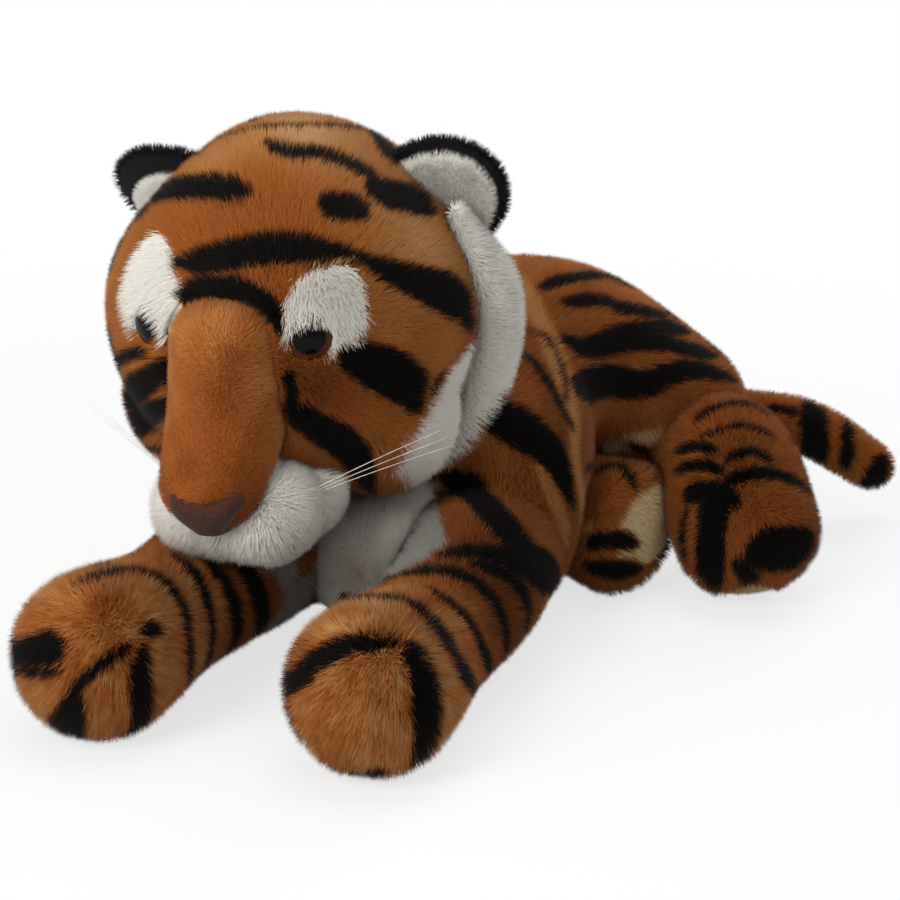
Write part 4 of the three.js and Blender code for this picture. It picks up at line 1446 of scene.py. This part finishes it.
def make_nose():
    """A pad over the tip of the bridge, in rings that close on its middle, with its rim tucked in."""
    outline = [NOSE_TOP, *NOSE_RIGHT, NOSE_BOTTOM, *[(-x, z) for x, z in reversed(NOSE_RIGHT)], NOSE_TOP]
    outline = spline(outline, np.linspace(0, 1, NOSE_POINTS + 1))[:-1]
    tip = bridge_path[-1]
    cover = BVHTree.FromPolygons(to_head(bridge_body.tips).tolist(), bridge_body.tris.tolist())
    points = []
    for k in range(NOSE_RINGS + 1):
        share = 1 - k / NOSE_RINGS
        for x, z in outline * share if k < NOSE_RINGS else outline[:1] * 0:
            at = np.array([x, NOSE_RAY_FROM, tip[2] + z])
            hit = cover.ray_cast(Vector(at), Vector((0, 1, 0)))[0]
            y = hit.y if hit is not None else tip[1]
            out = NOSE_STANDS_OUT * (1 - share**4) - NOSE_RIM_SINKS * share**12
            points.append((at[0], y - out, at[2]))
    count, last = len(outline), (NOSE_RINGS - 1) * len(outline)
    faces = []
    for i in range(count):
        j = (i + 1) % count
        faces += [(a + i, a + count + i, a + count + j, a + j) for a in range(0, last, count)]
        faces.append((last + i, last + count, last + j))
    return make("nose_pad", from_head(np.array(points)), faces, velour)


nose = make_nose()
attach(nose, "head")
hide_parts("nose")


# Whiskers: the way of each hair, and sizes in millimetres
WHISKER_AIMS = np.array([[0.8, 0.45, 0.25], [0.82, 0.47, 0.18], [0.84, 0.49, 0.11]])
WHISKER_LENGTH, WHISKER_START, WHISKER_SAG, WHISKER_RADIUS = 42, 10, 2.5, 0.14
WHISKER_ROOT = np.array([0.1, -0.57, -0.18]) * HEAD


def whisker(name, side, aim, count=8, rows=14):
    """A clear hair that thins towards its end."""
    shares = np.linspace(0, 1, rows)[:, None]
    sag = np.array([0, 0.3, -1.0]) * (WHISKER_SAG * shares**2)
    line = from_head(WHISKER_ROOT * [side, 1, 1] + aim * WHISKER_START + aim * WHISKER_LENGTH * shares + sag)
    radii = (WHISKER_RADIUS * (1 - 0.7 * shares))[..., None]
    tangents = unit(np.gradient(line, axis=0))
    wide = unit(np.cross(tangents, [0.1, 0.2, 1.0]))
    high = np.cross(tangents, wide)
    turn = (2 * np.pi * np.arange(count) / count)[:, None]
    rings = line[:, None] + radii * (wide[:, None] * np.cos(turn) + high[:, None] * np.sin(turn))
    points = np.vstack([line[0], rings.reshape(-1, 3), line[-1]])
    return make(name, points, ring_faces(rows, count), nylon)


for name, side in SIDES:
    for i, aim in enumerate(WHISKER_AIMS):
        hair = whisker(f"whisker_hair_{name}_{i + 1}", side, unit(aim * [side, 1, 1]))
        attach(hair, "head")
        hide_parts(f"whisker_{name}_{i + 1}")

# Neck stuffing between the head and the torso, and the washers behind the eyes
NECK_TO = np.array([-0.03, 0.7, 0.36]) * TORSO
NECK_FROM_HEAD = (22, 38, 54)
NECK_HALF = [11, 12, 12]
neck_way = unit(NECK_TO - head_place)
neck_path = [head_place + neck_way * away for away in NECK_FROM_HEAD]
neck = make("neck_fill", *soft_form(neck_path, NECK_HALF, NECK_HALF, 4, 5, 0, 32, 12, 5), fibre)
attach(neck, "neck")
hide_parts("neck_stuffing")
for side_name, _ in SIDES:
    washer = frame["nodes"]["eye_washer_" + side_name]
    washer.data.materials.clear()
    washer.data.materials.append(washer_plastic)

# Floor: white to the camera away from the toy, plain and shadowed near it, in metres
FLOOR_HALF, FLOOR_DROP = 4, 0.0004
FLOOR_FADE = (("From Min", 0.15), ("From Max", 0.6), ("To Min", 0.72), ("To Max", 1.0))


def floor_material():
    look = {"Base_Color": (0.86, 0.86, 0.85, 1), "Roughness": 0.9}
    material, nodes, links, shader = start_material("floor_white", **look)
    glow = nodes.new("ShaderNodeEmission")
    glow.inputs["Strength"].default_value = 1
    seen = nodes.new("ShaderNodeLightPath")
    where = nodes.new("ShaderNodeTexCoord")
    away = nodes.new("ShaderNodeVectorMath")
    away.operation = "LENGTH"
    links.new(where.outputs["Object"], away.inputs[0])
    fade = nodes.new("ShaderNodeMapRange")
    fade.interpolation_type = "SMOOTHSTEP"
    for key, value in FLOOR_FADE:
        fade.inputs[key].default_value = value
    links.new(away.outputs["Value"], fade.inputs["Value"])
    share = nodes.new("ShaderNodeMath")
    share.operation = "MULTIPLY"
    links.new(seen.outputs["Is Camera Ray"], share.inputs[0])
    links.new(fade.outputs["Result"], share.inputs[1])
    mix = nodes.new("ShaderNodeMixShader")
    links.new(share.outputs["Value"], mix.inputs["Fac"])
    links.new(shader.outputs["BSDF"], mix.inputs[1])
    links.new(glow.outputs["Emission"], mix.inputs[2])
    links.new(mix.outputs["Shader"], nodes["Material Output"].inputs["Surface"])
    return material


mesh = bpy.data.meshes.new("floor")
corners = [(x * FLOOR_HALF, y * FLOOR_HALF, -FLOOR_DROP) for x, y in ((-1, -1), (1, -1), (1, 1), (-1, 1))]
mesh.from_pydata(corners, [], [(0, 1, 2, 3)])
mesh.materials.append(floor_material())
floor = link(bpy.data.objects.new("floor", mesh))


def white_world(strength):
    """Even light of this strength on the toy, and plain white behind it."""
    world = bpy.data.worlds.new("studio")
    world.use_nodes = True
    nodes, links = world.node_tree.nodes, world.node_tree.links
    light, white = nodes["Background"], nodes.new("ShaderNodeBackground")
    for node, level in ((light, strength), (white, 1)):
        node.inputs["Color"].default_value = (1, 1, 1, 1)
        node.inputs["Strength"].default_value = level
    seen = nodes.new("ShaderNodeLightPath")
    mix = nodes.new("ShaderNodeMixShader")
    links.new(seen.outputs["Is Camera Ray"], mix.inputs["Fac"])
    links.new(light.outputs["Background"], mix.inputs[1])
    links.new(white.outputs["Background"], mix.inputs[2])
    links.new(mix.outputs["Shader"], nodes["World Output"].inputs["Surface"])
    return world


def lamp(name, place, size, power):
    """A round soft lamp that shines on the middle of the toy."""
    data = bpy.data.lights.new(name, "AREA")
    data.shape, data.size, data.energy = "DISK", size, power
    obj = link(bpy.data.objects.new(name, data))
    obj.location = place
    obj.rotation_mode = "QUATERNION"
    obj.rotation_quaternion = (TOY_MIDDLE - Vector(place)).to_track_quat("-Z", "Y")


TOY_MIDDLE = Vector((0, 0, 0.06))
scene.world = white_world(0.42)
lamp("key", (-0.16, -0.78, 0.55), 0.4, 4.3)
lamp("low", (-0.55, -0.85, 0.16), 0.4, 1.7)
lamp("fill", (0.8, -0.7, 0.6), 0.6, 1.8)
lamp("top", (0.0, 0.1, 1.1), 0.8, 3.2)
lamp("back", (0.2, 1.0, 0.6), 0.6, 3.6)
scene.view_settings.view_transform = "Standard"
